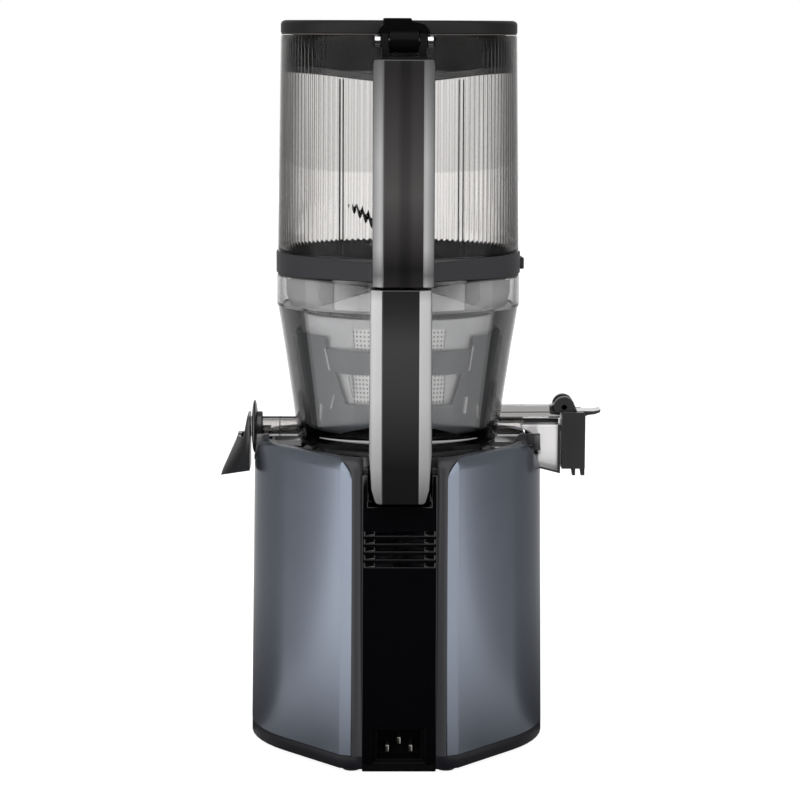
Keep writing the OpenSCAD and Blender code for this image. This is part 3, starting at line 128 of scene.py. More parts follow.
def straight_view(made, link):
    """1 for what the camera sees itself or through clear parts, 0 for light on its way to a part."""
    rays = made.new("ShaderNodeLightPath").outputs
    bounces = maths(made, link, "ADD", rays["Diffuse Depth"], rays["Glossy Depth"])
    seen = maths(made, link, "MAXIMUM", rays["Is Camera Ray"], rays["Is Transmission Ray"])
    return maths(made, link, "MULTIPLY", maths(made, link, "LESS_THAN", bounces, 0.5), seen)


def mixed(made, link, share, first, second):
    mix = made.new("ShaderNodeMixShader")
    for socket, entry in zip((share, first, second), mix.inputs):
        link.new(socket, entry)
    return mix.outputs[0]


world = bpy.data.worlds.new("studio")
scene.world = world
made, link = node_tree(world)
direction = made.new("ShaderNodeTexCoord")
screens = made.new("ShaderNodeBackground")
link.new(studio_level(made, link, direction.outputs["Generated"]), screens.inputs[0])
white = made.new("ShaderNodeBackground")
white.inputs[0].default_value = (1, 1, 1, 1)
out = made.new("ShaderNodeOutputWorld")
link.new(mixed(made, link, straight_view(made, link), screens.outputs[0], white.outputs[0]), out.inputs[0])

FLOOR_HALF = 6.0
FLOOR_GLOW = 0.90
FLOOR_MATTE = 0.25  # takes the machine's shadow
FLOOR_PLAIN = 0.55
SHADED_TO, LIT_FROM = 0.10, 0.50  # metres from the machine: nearer, the floor that gloss mirrors is dimmed, a painted shade
# painted shade: the share of the floor's mirrored glow left next to the machine
MIRRORED_SHADE = 0.12


def floor_matte(made, grey):
    matte = made.new("ShaderNodeBsdfDiffuse")
    matte.inputs[0].default_value = (grey, grey, grey, 1)
    return matte.outputs[0]


floor_mesh = bpy.data.meshes.new("floor")
floor_mesh.from_pydata(
    [(x * FLOOR_HALF, y * FLOOR_HALF, 0) for x, y in ((-1, -1), (1, -1), (1, 1), (-1, 1))],
    [], [(0, 1, 2, 3)])
floor = bpy.data.objects.new("floor", floor_mesh)
scene.collection.objects.link(floor)
floor_paint = bpy.data.materials.new("white_sweep")
made, link = node_tree(floor_paint)
glow = made.new("ShaderNodeEmission")
glow.inputs[1].default_value = FLOOR_GLOW
both = made.new("ShaderNodeAddShader")
link.new(glow.outputs[0], both.inputs[0])
link.new(floor_matte(made, FLOOR_MATTE), both.inputs[1])
place = made.new("ShaderNodeNewGeometry")
outward = made.new("ShaderNodeVectorMath")
outward.operation = "NORMALIZE"
near = made.new("ShaderNodeVectorMath")
near.operation = "LENGTH"
for reader in (outward, near):
    link.new(place.outputs["Position"], reader.inputs[0])
# Painted shade: the glow that gloss mirrors from the floor dims towards the machine.
shine = made.new("ShaderNodeEmission")
link.new(studio_level(made, link, outward.outputs[0]), shine.inputs[0])
link.new(spanned(made, link, near.outputs["Value"], SHADED_TO, LIT_FROM, MIRRORED_SHADE, 1.0), shine.inputs[1])
mirrored = made.new("ShaderNodeLightPath").outputs["Is Glossy Ray"]
glossy = mixed(made, link, mirrored, floor_matte(made, FLOOR_PLAIN), shine.outputs[0])
out = made.new("ShaderNodeOutputMaterial")
link.new(mixed(made, link, straight_view(made, link), glossy, both.outputs[0]), out.inputs[0])
floor.data.materials.append(floor_paint)

# ---- Base plate, deck and feet ----------------------------------------------------------
# Black moulded plastic: the plate closes the base from below and carries the band round its
# foot, and the deck closes it from above. Turned rubber feet are fixed under the plate.

MM = 0.001  # shapes are written in millimetres
CLOUDS = 35  # patches of gloss in a metre
COAT_ROUGHNESS = 0.04
WELD, MERGE = 0.004, 0.002
SMOOTH = 34  # degrees; sharper edges stay crisp


def mixed_colour(made, link, share, first, second):
    tint = made.new("ShaderNodeMixRGB")
    tint.inputs[1].default_value = (*first, 1)
    tint.inputs[2].default_value = (*second, 1)
    link.new(share, tint.inputs[0])
    return tint.outputs[0]


def finish_of(name, colour, roughness, metallic=0.0, coat=0.0, grain=(), mottle=0.0, clear=0.0,
              ior=1.5, spread=0.15, stretch=(1, 1, 1), absorb=()):
    """A finish whose gloss wanders by spread and whose colour wanders by mottle. grain is (size in
    mm, depth); absorb, for clear plastic, is (colour that is left, strength per metre)."""
    material = bpy.data.materials.new(name)
    made, link = node_tree(material)
    shader = made.new("ShaderNodeBsdfPrincipled")
    for socket, value in (("Base Color", (*colour, 1)), ("Metallic", metallic), ("Coat Weight", coat),
                          ("Coat Roughness", COAT_ROUGHNESS), ("Transmission Weight", clear), ("IOR", ior)):
        shader.inputs[socket].default_value = value
    place = made.new("ShaderNodeTexCoord")
    shape = made.new("ShaderNodeMapping")
    shape.inputs["Scale"].default_value = stretch
    link.new(place.outputs["Object"], shape.inputs[0])

    def noise(scale, detail):
        cloud = made.new("ShaderNodeTexNoise")
        cloud.inputs["Scale"].default_value = scale
        cloud.inputs["Detail"].default_value = detail
        link.new(shape.outputs[0], cloud.inputs["Vector"])
        return cloud.outputs["Fac"]

    cloud = noise(CLOUDS, 4)
    gloss = spanned(made, link, cloud, 0.0, 1.0, roughness * (1 - spread), roughness * (1 + spread))
    link.new(gloss, shader.inputs["Roughness"])
    if mottle:
        dark, pale = [c * (1 - mottle) for c in colour], [min(1, c * (1 + mottle)) for c in colour]
        link.new(mixed_colour(made, link, cloud, dark, pale), shader.inputs["Base Color"])
    if grain:
        size, depth = grain
        bump = made.new("ShaderNodeBump")
        bump.inputs["Strength"].default_value = depth
        bump.inputs["Distance"].default_value = size * MM * 0.5
        link.new(noise(1 / (size * MM), 3), bump.inputs["Height"])
        link.new(bump.outputs[0], shader.inputs["Normal"])
    out = made.new("ShaderNodeOutputMaterial")
    link.new(shader.outputs[0], out.inputs[0])
    if absorb:
        inside = made.new("ShaderNodeVolumeAbsorption")
        inside.inputs["Color"].default_value = (*absorb[0], 1)
        inside.inputs["Density"].default_value = absorb[1]
        link.new(inside.outputs[0], out.inputs["Volume"])
    return material


def round_edges(obj, edge, limit, segments=3):
    bevel = obj.modifiers.new("edges", "BEVEL")
    bevel.width = edge * MM
    bevel.segments = segments
    bevel.limit_method = "ANGLE"
    bevel.angle_limit = math.radians(limit)
    bevel.harden_normals = True


def dress(node, material, edge=0.35, limit=SMOOTH):
    """Gives a CAD node its finish and rounds its edges by edge millimetres."""
    obj = nodes[node]
    obj.data.materials.clear()
    obj.data.materials.append(material)
    for face in obj.data.polygons:
        face.use_smooth = True
    weld = obj.modifiers.new("weld", "WELD")
    weld.merge_threshold = WELD * MM
    if edge:
        round_edges(obj, edge, limit, 2)


def settle(obj, smooth):
    """Turns the faces outwards and shades them smooth, apart from edges sharper than smooth degrees."""
    work = bmesh.new()
    work.from_mesh(obj.data)
    bmesh.ops.remove_doubles(work, verts=work.verts, dist=MERGE * MM)
    bmesh.ops.recalc_face_normals(work, faces=work.faces)
    for face in work.faces:
        face.smooth = True
    for e in work.edges:
        e.smooth = len(e.link_faces) == 2 and e.calc_face_angle(0) < math.radians(smooth)
    work.to_mesh(obj.data)
    work.free()


def piece(name, points, faces, body, material, stands_for=(), smooth=SMOOTH, edge=0.0):
    """Makes one piece from points in millimetres and gives it its body and finish."""
    mesh = bpy.data.meshes.new(name)
    mesh.from_pydata([tuple(c * MM for c in p) for p in points], [], faces)
    obj = bpy.data.objects.new(name, mesh)
    scene.collection.objects.link(obj)
    settle(obj, smooth)
    mesh.materials.append(material)
    if edge:
        round_edges(obj, edge, smooth)
    if body:
        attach(obj, body)
        if stands_for:
            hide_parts(*stands_for)
    return obj


def stack(name, rings, body, material, stands_for=(), solid=False, smooth=SMOOTH, edge=0.0):
    """Rings of points joined in turn: a wall whose last ring meets its first, or a closed solid."""
    around, count = len(rings[0]), len(rings)
    points = [p for ring in rings for p in ring]
    faces = []
    for j in range(count - 1 if solid else count):
        for i in range(around):
            here, above, after = j * around, (j + 1) % count * around, (i + 1) % around
            faces.append((here + i, here + after, above + after, above + i))
    if solid:
        faces += [tuple(range(around)), tuple(range(len(points) - 1, len(points) - 1 - around, -1))]
    return piece(name, points, faces, body, material, stands_for, smooth, edge)


def prism(name, outline, low, high, along, body=None, material=None, slot=None, stands_for=(), edge=0.0):
    """A solid with a flat outline, reaching from low to high along the X or Y axis."""
    place = {"X": lambda p, t: (t, p[0], p[1]), "Y": lambda p, t: (p[0], t, p[1])}[along]
    rings = [[place(p, t) for p in outline] for t in (low, high)]
    return stack(name, rings, body, material or black_moulded, stands_for, True, edge=edge)


black_moulded = finish_of("black_moulded", (0.006, 0.006, 0.008), 0.36, grain=(0.35, 0.10), ior=1.22)
inlet_black = finish_of("inlet_black", (0.002, 0.002, 0.002), 0.35, grain=(0.3, 0.1), ior=1.12)
rubber = finish_of("foot_rubber", (0.05, 0.042, 0.038), 0.7, grain=(0.5, 0.2), mottle=0.15)
deck_black = finish_of("deck_black", (0.032, 0.032, 0.034), 0.22, coat=0.3, grain=(0.35, 0.05))
dress("base_plate", black_moulded, 0.7)
dress("top_deck", deck_black, 0.4)
dress("feet", rubber, 0.3)
dress("deck_seal", rubber, 0.2)
prism("foot_sill", [(-21.4, 1.0), (21.4, 1.0), (21.4, 6.6), (-21.4, 6.6)], -99.4, -95.0, "Y", "base",
      inlet_black, "black_plastic", edge=0.6)
REST = [(68, 179), (80.6, 179), (80.2, 182.6), (78.6, 185.6), (76.2, 186.9), (74.0, 186.8), (71.8, 185.0),
        (70, 182), (68, 181)]
prism("spout_rest", REST, -14.4, -11.9, "Y", "base", deck_black, "black_plastic", edge=0.4)

# ---- Side panels ------------------------------------------------------------------------
# One painted sheet wrapped round the base, open at the back. Its rear faces are slightly
# crowned, its rim is rolled over and it is cut away where the two outlet tubes cross it.

BASE_R = 88.5
BASE_BACK = 99.5
BASE_LEAN = 2.2
BASE_BEVEL = 4.2
PANEL_LOW = 10.1
PANEL_CORNER = 11.0
RIM = 184.0
RIM_ROUND = 6.0
RIM_LIP = 1.4
SHELL_WALL = 2.5
GAP_HALF = 27.6
CROWN = 0.9
CROWN_FROM, CROWN_TO = -37.4, -96.0
PANEL_STEP = 1.5
TUBE_Z = 188.9
NOTCHES = ((-1, 20.4, 0.0), (1, 46.0, 23.0))  # side, radius, height of its middle above the tube
DIAL_Z, DIAL_HOLE = 80, 23.0
SIDE_ANGLE = 40.0
PLAN_STEP = 1.5
PLAN_ROUNDING = 1.2


def rounded_corner(before, corner, after, radius, steps=4):
    before, corner, after = Vector(before), Vector(corner), Vector(after)
    to_a, to_b = (before - corner).normalized(), (after - corner).normalized()
    shorter = min((before - corner).length, (after - corner).length)
    back_off = min(radius / math.tan(to_a.angle(to_b) / 2), 0.45 * shorter)
    start, end = corner + to_a * back_off, corner + to_b * back_off
    return [tuple(start.lerp(corner, t).lerp(corner.lerp(end, t), t))
            for t in [i / steps for i in range(steps + 1)]]


def teardrop(radius, back, bevel):
    """A circle drawn out to a flat back, counter-clockwise from the right."""
    side = math.radians(SIDE_ANGLE)
    half = (radius - back * math.sin(side)) / math.cos(side)
    count = int((180 + 2 * SIDE_ANGLE) / PLAN_STEP)
    arc = [math.radians(-SIDE_ANGLE + i * (180 + 2 * SIDE_ANGLE) / count) for i in range(count + 1)]
    points = [(radius * math.cos(t), radius * math.sin(t)) for t in arc]
    corners = [
        (-half - bevel * math.sin(side), -back + bevel * math.cos(side)),
        (-half + bevel, -back),
        (half - bevel, -back),
        (half + bevel * math.sin(side), -back + bevel * math.cos(side)),
    ]
    ends = [points[-1]] + corners + [points[0]]
    for before, corner, after in zip(ends, ends[1:], ends[2:]):
        points += rounded_corner(before, corner, after, PLAN_ROUNDING)
    return points


def circle(radius, count=180):
    turns = [2 * math.pi * i / count for i in range(count)]
    return [(radius * math.cos(t), radius * math.sin(t)) for t in turns]


def rod(name, start, end, radius, body=None, material=None, slot=None, count=48, far_radius=None):
    """A round rod or cone between two points."""
    start, end = Vector(start), Vector(end)
    turn = (end - start).to_track_quat("Z", "Y")
    rings = [[tuple(at + turn @ Vector((x, y, 0))) for x, y in circle(r, count)]
             for at, r in ((start, radius), (end, far_radius or radius))]
    return stack(name, rings, body, material or black_moulded, solid=True)


def combine(obj, other, how, smooth=SMOOTH):
    """Joins the other shape to the piece, or takes its volume away, and removes the other."""
    change = obj.modifiers.new("change", "BOOLEAN")
    change.operation = how
    change.solver = "EXACT"
    change.object = other
    obj.modifiers.move(len(obj.modifiers) - 1, 0)
    shown = [m for m in obj.modifiers if m.type != "BOOLEAN"]
    for m in shown:
        m.show_viewport = False
    bpy.context.view_layer.update()
    done = bpy.data.meshes.new_from_object(obj.evaluated_get(bpy.context.evaluated_depsgraph_get()))
    obj.modifiers.remove(change)
    for m in shown:
        m.show_viewport = True
    old, obj.data = obj.data, done
    done.name = old.name
    bpy.data.meshes.remove(old)
    bpy.data.objects.remove(other)
    settle(obj, smooth)


def cut(obj, cutter, smooth=SMOOTH):
    combine(obj, cutter, "DIFFERENCE", smooth)


def shell_level(height):
    """How far the leaning panel stands in from its foot."""
    return BASE_LEAN * (height - PANEL_LOW) / (RIM - PANEL_LOW)


def panel_top(point):
    """Height of the panel's top edge at a point of the plan: its rear corners are rounded."""
    x = abs(point[0])
    arc_x = GAP_HALF + PANEL_CORNER
    if point[1] > -40 or x > arc_x:
        return RIM
    return RIM - PANEL_CORNER + math.sqrt(max(0, PANEL_CORNER ** 2 - (arc_x - x) ** 2))


def panel_section():
    """Heights and insets once round the panel's wall, from the foot up and down inside."""
    outer = [(PANEL_LOW, 0.4), (PANEL_LOW + 0.4, 0)]
    outer += [(z, shell_level(z)) for z in range(30, 178, 21)]
    top_in = shell_level(RIM - RIM_ROUND)
    for a in [math.radians(a) for a in range(0, 91, 15)]:
        outer.append((RIM - RIM_ROUND * (1 - math.sin(a)), top_in + RIM_ROUND * (1 - math.cos(a))))
    lip = top_in + RIM_ROUND + RIM_LIP
    inner = [(RIM - 0.3, lip + 0.5), (RIM - SHELL_WALL + 0.4, lip + 0.5), (RIM - SHELL_WALL, lip)]
    inner += [(RIM - RIM_ROUND, top_in + SHELL_WALL), (PANEL_LOW, SHELL_WALL)]
    return outer + [(RIM, lip)] + inner


def crown(point, z):
    """How far the panel stands proud of the flat between its round front and its rear corner."""
    share = (CROWN_FROM - point[1]) / (CROWN_FROM - CROWN_TO)
    if not 0 < share < 1:
        return 0.0
    return CROWN * 6.75 * share ** 2 * (1 - share) * min(1, (z - PANEL_LOW) / 25)


def panel_path():
    """The panel's plan from one side of the gap round to the other, in short steps."""
    along = [p for p in teardrop(BASE_R, BASE_BACK, BASE_BEVEL) if abs(p[0]) > GAP_HALF + 0.4 or p[1] > 0]
    split = next(i for i in range(len(along)) if along[i][0] < 0 and along[(i + 1) % len(along)][0] > 0
                 and along[i][1] < 0)
    edge = [(GAP_HALF + step, -BASE_BACK + 0.45 - step) for step in (0.1, 0.25)]
    along = edge + along[split + 1:] + along[:split + 1] + [(-x, y) for x, y in reversed(edge)]
    fine = []
    for a, b in zip(along, along[1:]):
        fine.append(a)
        steps = int((Vector(a) - Vector(b)).length / PANEL_STEP)
        fine += [tuple(Vector(a).lerp(Vector(b), i / steps)) for i in range(1, steps)]
    return fine + [along[-1]]


def side_panels():
    along, section = panel_path(), panel_section()
    points = []
    for p in along:
        drop = RIM - panel_top(p)
        for z, inset in section:
            near_top = max(0.0, (z - 60) / (RIM - 60))
            proud = crown(p, z) if inset < SHELL_WALL * 0.9 else 0.0
            scale = 1 - (inset - proud) / BASE_R
            points.append((p[0] * scale, p[1] * scale, z - drop * near_top ** 1.5))
    n = len(section)
    faces = [(j * n + i, j * n + (i + 1) % n, (j + 1) * n + (i + 1) % n, (j + 1) * n + i)
             for j in range(len(along) - 1) for i in range(n)]
    faces += [tuple(range(n)), tuple(range(len(points) - 1, len(points) - 1 - n, -1))]
    obj = piece("side_panels", points, faces, "base", panel_paint, ("outer_shell",))
    for side, radius, above in NOTCHES:
        ends = [(side * x, 0, TUBE_Z + above) for x in (45, 95)]
        cut(obj, rod("notch", *ends, radius, count=96))
    cut(obj, rod("dial_hole", (0, 60, DIAL_Z), (0, 100, DIAL_Z), DIAL_HOLE, count=96))


panel_paint = finish_of("panel_paint", (0.130, 0.147, 0.180), 0.26, metallic=0.92, coat=0.15,
                        grain=(0.10, 0.03), mottle=0.04, spread=0.10)
side_panels()

# ---- Frame strips and spine -------------------------------------------------------------
# Dark grey strips edge the two panels. Between them stands a polished black spine with five
# cooling slots, the pocket for the bowl's handle and the mains inlet. All are moulded plastic.

strip_grey = finish_of("strip_grey", (0.026, 0.026, 0.0285), 0.38, grain=(0.3, 0.08), ior=1.3)
spine_black = finish_of("spine_black", (0.0012, 0.0012, 0.0016), 0.07, spread=0.3)
pin_metal = finish_of("pin_metal", (0.30, 0.29, 0.27), 0.30, metallic=1.0, mottle=0.05)
dress("spine_frame", strip_grey, 0.3, 40)
dress("rear_spine", spine_black)
dress("power_inlet", inlet_black, 0.3)
dress("inlet_pins", pin_metal, 0.25)

# ---- Inside of the base -----------------------------------------------------------------
# The motor stands in a cast cradle on rubber dampers and drives acetal and steel gears in a cast
# case, held by screws. Only the plastic dial in its metal ring shows from outside.

board_green = finish_of("board_green", (0.03, 0.16, 0.06), 0.4, mottle=0.2)
can_metal = finish_of("can_metal", (0.6, 0.6, 0.61), 0.3, metallic=1.0, stretch=(1, 1, 0.1), mottle=0.06)
zinc = finish_of("zinc_screws", (0.5, 0.5, 0.52), 0.35, metallic=1.0, mottle=0.1)
cast_alloy = finish_of("cast_alloy", (0.48, 0.49, 0.50), 0.5, metallic=0.9, grain=(0.8, 0.25), mottle=0.1)
core_steel = finish_of("core_steel", (0.22, 0.23, 0.24), 0.45, metallic=0.8, stretch=(1, 1, 40),
                       grain=(2.0, 0.3))
copper = finish_of("copper_wire", (0.55, 0.22, 0.08), 0.35, metallic=0.9, stretch=(1, 1, 6),
                   grain=(0.8, 0.6))
acetal = finish_of("acetal", (0.78, 0.75, 0.66), 0.4, mottle=0.05)
gear_steel = finish_of("gear_steel", (0.42, 0.42, 0.44), 0.35, metallic=1.0, mottle=0.1)
ground_steel = finish_of("ground_steel", (0.66, 0.66, 0.68), 0.18, metallic=1.0, stretch=(1, 1, 0.2),
                         mottle=0.04)
dial_ring = finish_of("dial_ring", (0.45, 0.46, 0.48), 0.28, metallic=1.0, grain=(0.3, 0.1))
dial_grey = finish_of("dial_grey", (0.06, 0.062, 0.066), 0.35, grain=(0.3, 0.08))
for material, edge, inside in (
        (board_green, 0.3, ("control_board",)), (can_metal, 0.3, ("run_capacitor",)),
        (zinc, 0.3, ("case_screws", "gearbox_screws")),
        (cast_alloy, 0.3, ("motor_cradle", "gearbox_case", "gearbox_lid")),
        (rubber, 0.3, ("motor_dampers",)), (core_steel, 0.3, ("motor_stator", "motor_rotor")),
        (copper, 0.3, ("motor_coils",)), (black_moulded, 0.3, ("cooling_fan", "dial_switch")),
        (dial_ring, 0.3, ("dial_bezel",)), (dial_grey, 0.3, ("control_dial",)),
        (ground_steel, 0.3, ("gear_axles", "output_bearings", "drive_shaft")),
        (ground_steel, 0, ("motor_shaft", "idler_pins")), (gear_steel, 0, ("output_gear",)),
        (acetal, 0, ("first_gear", "second_gear", "idler_gear_left", "idler_gear_right",
                     "auger_drive_gear"))):
    for node in inside:
        dress(node, material, edge)

# ---- Bowl -------------------------------------------------------------------------------
# Smoked clear plastic. A turned wall flares up to a shoulder band, whose back is drawn out to
# carry the handle bar and is hollow from below. Two tubes leave the wall near the floor.

BOWL_R = 72.9
BOWL_BACK = 93.0
BOWL_BEVEL = 1.5
BOWL_WALL = 2.8
BAND_LOW, BOWL_TOP = 263.7, 282.0
BOWL_SMOOTH = 28
BOWL_UNDER = [(12.0, 180.6), (55.6, 180.6), (56.2, 178.3), (58.6, 178.3)]
BOWL_OUTER = [(59.0, 178.9), (59.6, 184.3), (60.8, 190), (62.06, 195.4), (64.0, 209.9), (66.35, 225.7),
              (68.73, 241.5), (70.6, 252.8), (72.3, 263.0)]
BOWL_FLOOR = [(56.6, 184.6), (54.0, 183.0), (12.0, 183.0)]
TUBES = ((-1, 90.5), (1, 76.0))  # side and reach
TUBE_R, TUBE_BORE = 6.1, 4.2
PIN_X, PIN_Z = 100.4, 201.9  # the cap's pin
SMOKE = (0.5, 0.5, 0.505)
# Painted shade: the clear bowl's colour by how far it turns from the viewer (place, share); darkest over the
# cage's sides, for the shade there
BOWL_OUTLINE_SHADE = [(0, 1), (0.15, 0.8), (0.3, 0.27), (0.37, 0.18), (0.46, 0.18), (0.6, 0.6), (0.75, 0.8), (1, 1)]


def opened(material):
    """A finish's nodes, links and shader."""
    made = material.node_tree.nodes
    return made, material.node_tree.links, next(n for n in made if n.type == "BSDF_PRINCIPLED")


def axes(made, link):
    """Places on the piece, from the screw's axis and the worktop."""
    axis = made.new("ShaderNodeSeparateXYZ")
    link.new(made.new("ShaderNodeTexCoord").outputs["Object"], axis.inputs[0])
    return axis.outputs


def fade(material, along, stops):
    """Paints light and shade into a finish: scales its colour by stops of (place, share), along "X", "Y" or "Z"
    in millimetres, or along "Facing" for clear plastic, from 0 where it faces the viewer to 1 at its outline."""
    made, link, shader = opened(material)
    colour = shader.inputs["Base Color"]
    low, high = stops[0][0], stops[-1][0]
    if along == "Facing":
        value, unit = made.new("ShaderNodeLayerWeight").outputs["Facing"], 1.0
    else:
        value, unit = axes(made, link)[along], MM
    scaled = made.new("ShaderNodeMixRGB")
    scaled.blend_type = "MULTIPLY"
    scaled.inputs[0].default_value = 1.0
    if colour.is_linked:
        link.new(colour.links[0].from_socket, scaled.inputs[1])
    else:
        scaled.inputs[1].default_value = colour.default_value
    shares = [((place - low) / (high - low), share) for place, share in stops]
    link.new(graded(made, link, spanned(made, link, value, low * unit, high * unit), shares), scaled.inputs[2])
    link.new(scaled.outputs[0], colour)
    return material


def smoked(name, colour, density, roughness=0.02, ior=1.14, clear=1.0, spread=0.15):
    """Clear plastic that is darker the thicker it is."""
    return finish_of(name, colour, roughness, coat=0.6, clear=clear, ior=ior, spread=spread,
                     absorb=(SMOKE, density))


def second_finish(obj, material, where):
    """Gives another finish to the faces for which where(middle in mm, direction) holds."""
    obj.data.materials.append(material)
    for face in obj.data.polygons:
        if where(face.center / MM, face.normal):
            face.material_index = len(obj.data.materials) - 1


def level(plan, z):
    return [(x, y, z) for x, y in plan]


def raised(plan, heights):
    """A plan with a height of its own at each point."""
    return [(p[0], p[1], z) for p, z in zip(plan, heights)]


def round_level(plan, radius, z):
    """A circle with as many points as the plan."""
    return [(x * radius / math.hypot(x, y), y * radius / math.hypot(x, y), z) for x, y in plan]


def bowl_plan(inset=0.0, radius=BOWL_R):
    return teardrop(radius - inset, BOWL_BACK - inset, BOWL_BEVEL)


def juice_bowl():
    plan, tight, inner = bowl_plan(), bowl_plan(0.4), bowl_plan(3.0)
    share = [min(1.0, max(0.0, (-59 - y) / 1.5)) for _, y in plan]
    hollow_top = [BAND_LOW + 15.3 * s for s in share]
    hollow_wall = [tuple(Vector(a).lerp(Vector(b), s)) for a, b, s in zip(tight, inner, share)]
    rings = [round_level(plan, r, z) for r, z in BOWL_UNDER + BOWL_OUTER]
    rings += [raised(round_level(plan, 72.4, 0), hollow_top), raised(hollow_wall, hollow_top),
              level(hollow_wall, BAND_LOW), level(plan, BAND_LOW + 0.3), level(plan, BOWL_TOP - 0.6),
              level(bowl_plan(0.6), BOWL_TOP)]
    inside = [(70.4, BOWL_TOP), (69.9, BOWL_TOP - 0.6), (69.7, 266.0)]
    inside += [(r - BOWL_WALL, z) for r, z in reversed(BOWL_OUTER[2:])] + BOWL_FLOOR
    rings += [round_level(plan, r, z) for r, z in inside]
    obj = stack("bowl_wall", rings, "bowl", bowl_smoked, ("juice_bowl",), smooth=BOWL_SMOOTH)
    for side, reach in TUBES:
        tube, bore = [[(side * x, 0, TUBE_Z) for x in span] for span in ((60.2, reach), (50, reach + 4))]
        combine(obj, rod("tube", *tube, TUBE_R), "UNION", BOWL_SMOOTH)
        cut(obj, rod("bore", *bore, TUBE_BORE), BOWL_SMOOTH)
    second_finish(obj, band_smoked, lambda at, out: at.z > BAND_LOW + 0.1)
    second_finish(obj, tube_clear,
                  lambda at, out: abs(at.x) > 61 and math.hypot(at.y, at.z - TUBE_Z) < TUBE_R + 0.2)


def cap_arm():
    """The arm over the juice tube that carries the cap's pin."""
    prism("cap_arm", [(61.5, 194.3), (98.2, 194.6), (98.2, 202.6), (61.5, 202.0)], -4.5, 4.5, "Y",
          "bowl", arm_smoked, "smoked_clear", edge=1.0)
    prism("arm_web", [(61.5, 191.0), (97.6, 191.8), (97.6, 194.1), (61.5, 194.1)], -1.4, 1.4, "Y",
          "bowl", key_smoked, "smoked_clear")
    # Painted shade: a thin dark rod along the arm's edge and a dark ring round the pulp tube stand in for the
    # dark lines the clear plastic shows there.
    rod("arm_shade_line", (62.5, -4.5, 198.3), (95, -4.5, 198.5), 0.32, "bowl", key_smoked, "smoked_clear", 12)
    rod("tube_shade_line", (-70.9, 0, TUBE_Z), (-71.5, 0, TUBE_Z), 6.3, "bowl", key_smoked, "smoked_clear")
    knuckle = rod("arm_knuckle", (PIN_X, -4.5, PIN_Z), (PIN_X, 4.5, PIN_Z), 4.4, "bowl", outlet_black,
                  "black_plastic")
    round_edges(knuckle, 0.4, 50, 2)
    prism("arm_end", [(92.2, 197.2), (98.2, 196.4), (98.2, 203.2), (94.2, 203.3), (92.0, 201.2)], -4.7,
          4.7, "Y", "bowl", outlet_black, "black_plastic", edge=0.5)


def floor_shade_ring():
    """A dark ring on the bowl's floor, higher at the back: painted shade for the dark band low in the bowl."""
    plan = circle(1.0)
    lift = [190.8 + 6.6 * max(0.0, 1 - (55 * x / 34) ** 2) if y < 0 else 190.8 for x, y in plan]
    foot = [183.2] * len(plan)
    rings = [raised([(x * r, y * r) for x, y in plan], heights)
             for r, heights in ((55.4, foot), (55.4, lift), (54.4, lift), (54.4, foot))]
    stack("floor_shade_ring", rings, "bowl", inlet_black)


def foot_highlight():
    """A pale arc round the back of the bowl's foot that thins out to its ends: a painted highlight."""
    lip = []
    for i in range(-14, 15):
        a, thick = math.radians(3.6 * i), 1.6 - 1.3 * abs(i / 14)
        lip.append([])
        for t in [math.pi * k / 6 for k in range(12)]:
            r = 60.3 + thick * math.cos(t)
            lip[-1].append((r * math.sin(a), -r * math.cos(a), 187.6 + thick * math.sin(t)))
    stack("foot_highlight", lip, "bowl", highlight_grey, solid=True, smooth=50)


def bowl_key():
    """The raised key at the back of the rim, which the hopper's ring fits over."""
    outer = sorted(p for p in bowl_plan(0.2) if abs(p[0]) < 38.5 and p[1] < -40)
    turns = [math.radians(a) for a in range(33, -34, -3)]
    plan = outer + [(70.4 * math.sin(a), -70.4 * math.cos(a)) for a in turns]
    stack("bowl_key", [level(plan, 281.6), level(plan, 284.7)], "bowl", band_smoked,
          solid=True, edge=0.3)


bowl_smoked = smoked("bowl_smoked", (1, 1, 1), 80.0, 0.015, 1.13, spread=0.3)
# painted shade towards the bowl's outline
fade(bowl_smoked, "Facing", BOWL_OUTLINE_SHADE)
band_smoked = smoked("band_smoked", (0.93, 0.93, 0.93), 80.0, 0.015, 1.13, spread=0.3)
# dark smoked plastic, also used for dark lines and plates that are painted shade on the clear parts
key_smoked = finish_of("key_smoked", (0.03, 0.03, 0.032), 0.12, coat=0.5)
# painted highlight on the bowl's foot
highlight_grey = finish_of("highlight_grey", (0.22, 0.22, 0.225), 0.2, coat=0.5)
outlet_black = finish_of("outlet_black", (0.012, 0.012, 0.013), 0.30, grain=(0.35, 0.08), coat=0.1)
tube_clear = smoked("tube_clear", (0.73, 0.71, 0.70), 80.0)
# painted shade: the tubes darken towards their outlines
fade(tube_clear, "Facing", [(0, 1), (0.3, 0.85), (0.6, 0.5), (0.85, 0.35), (1, 0.6)])
arm_smoked = smoked("arm_smoked", (0.34, 0.332, 0.325), 30.0)
juice_bowl()
cap_arm()
floor_shade_ring()
foot_highlight()
bowl_key()
red_silicone = finish_of("red_silicone", (0.5, 0.12, 0.07), 0.5, mottle=0.08)
dress("bowl_drive_seal", red_silicone, 0.2)

# ---- Handle bars ------------------------------------------------------------------------
# Both bars are dark smoked channels, open towards the machine, with slanted cheeks on either side of a flat
# face;
# the cheeks' brightness and the light and shade along both bars are painted. The lower one is made here; the
# upper one comes with the hopper.

FACE_Y = -108.0
BAR_BACK = -93.2
SLOPE = 4.6 / 7.8
CHEEK_BACK = -102.4
CHANNEL_WALL = 2.6
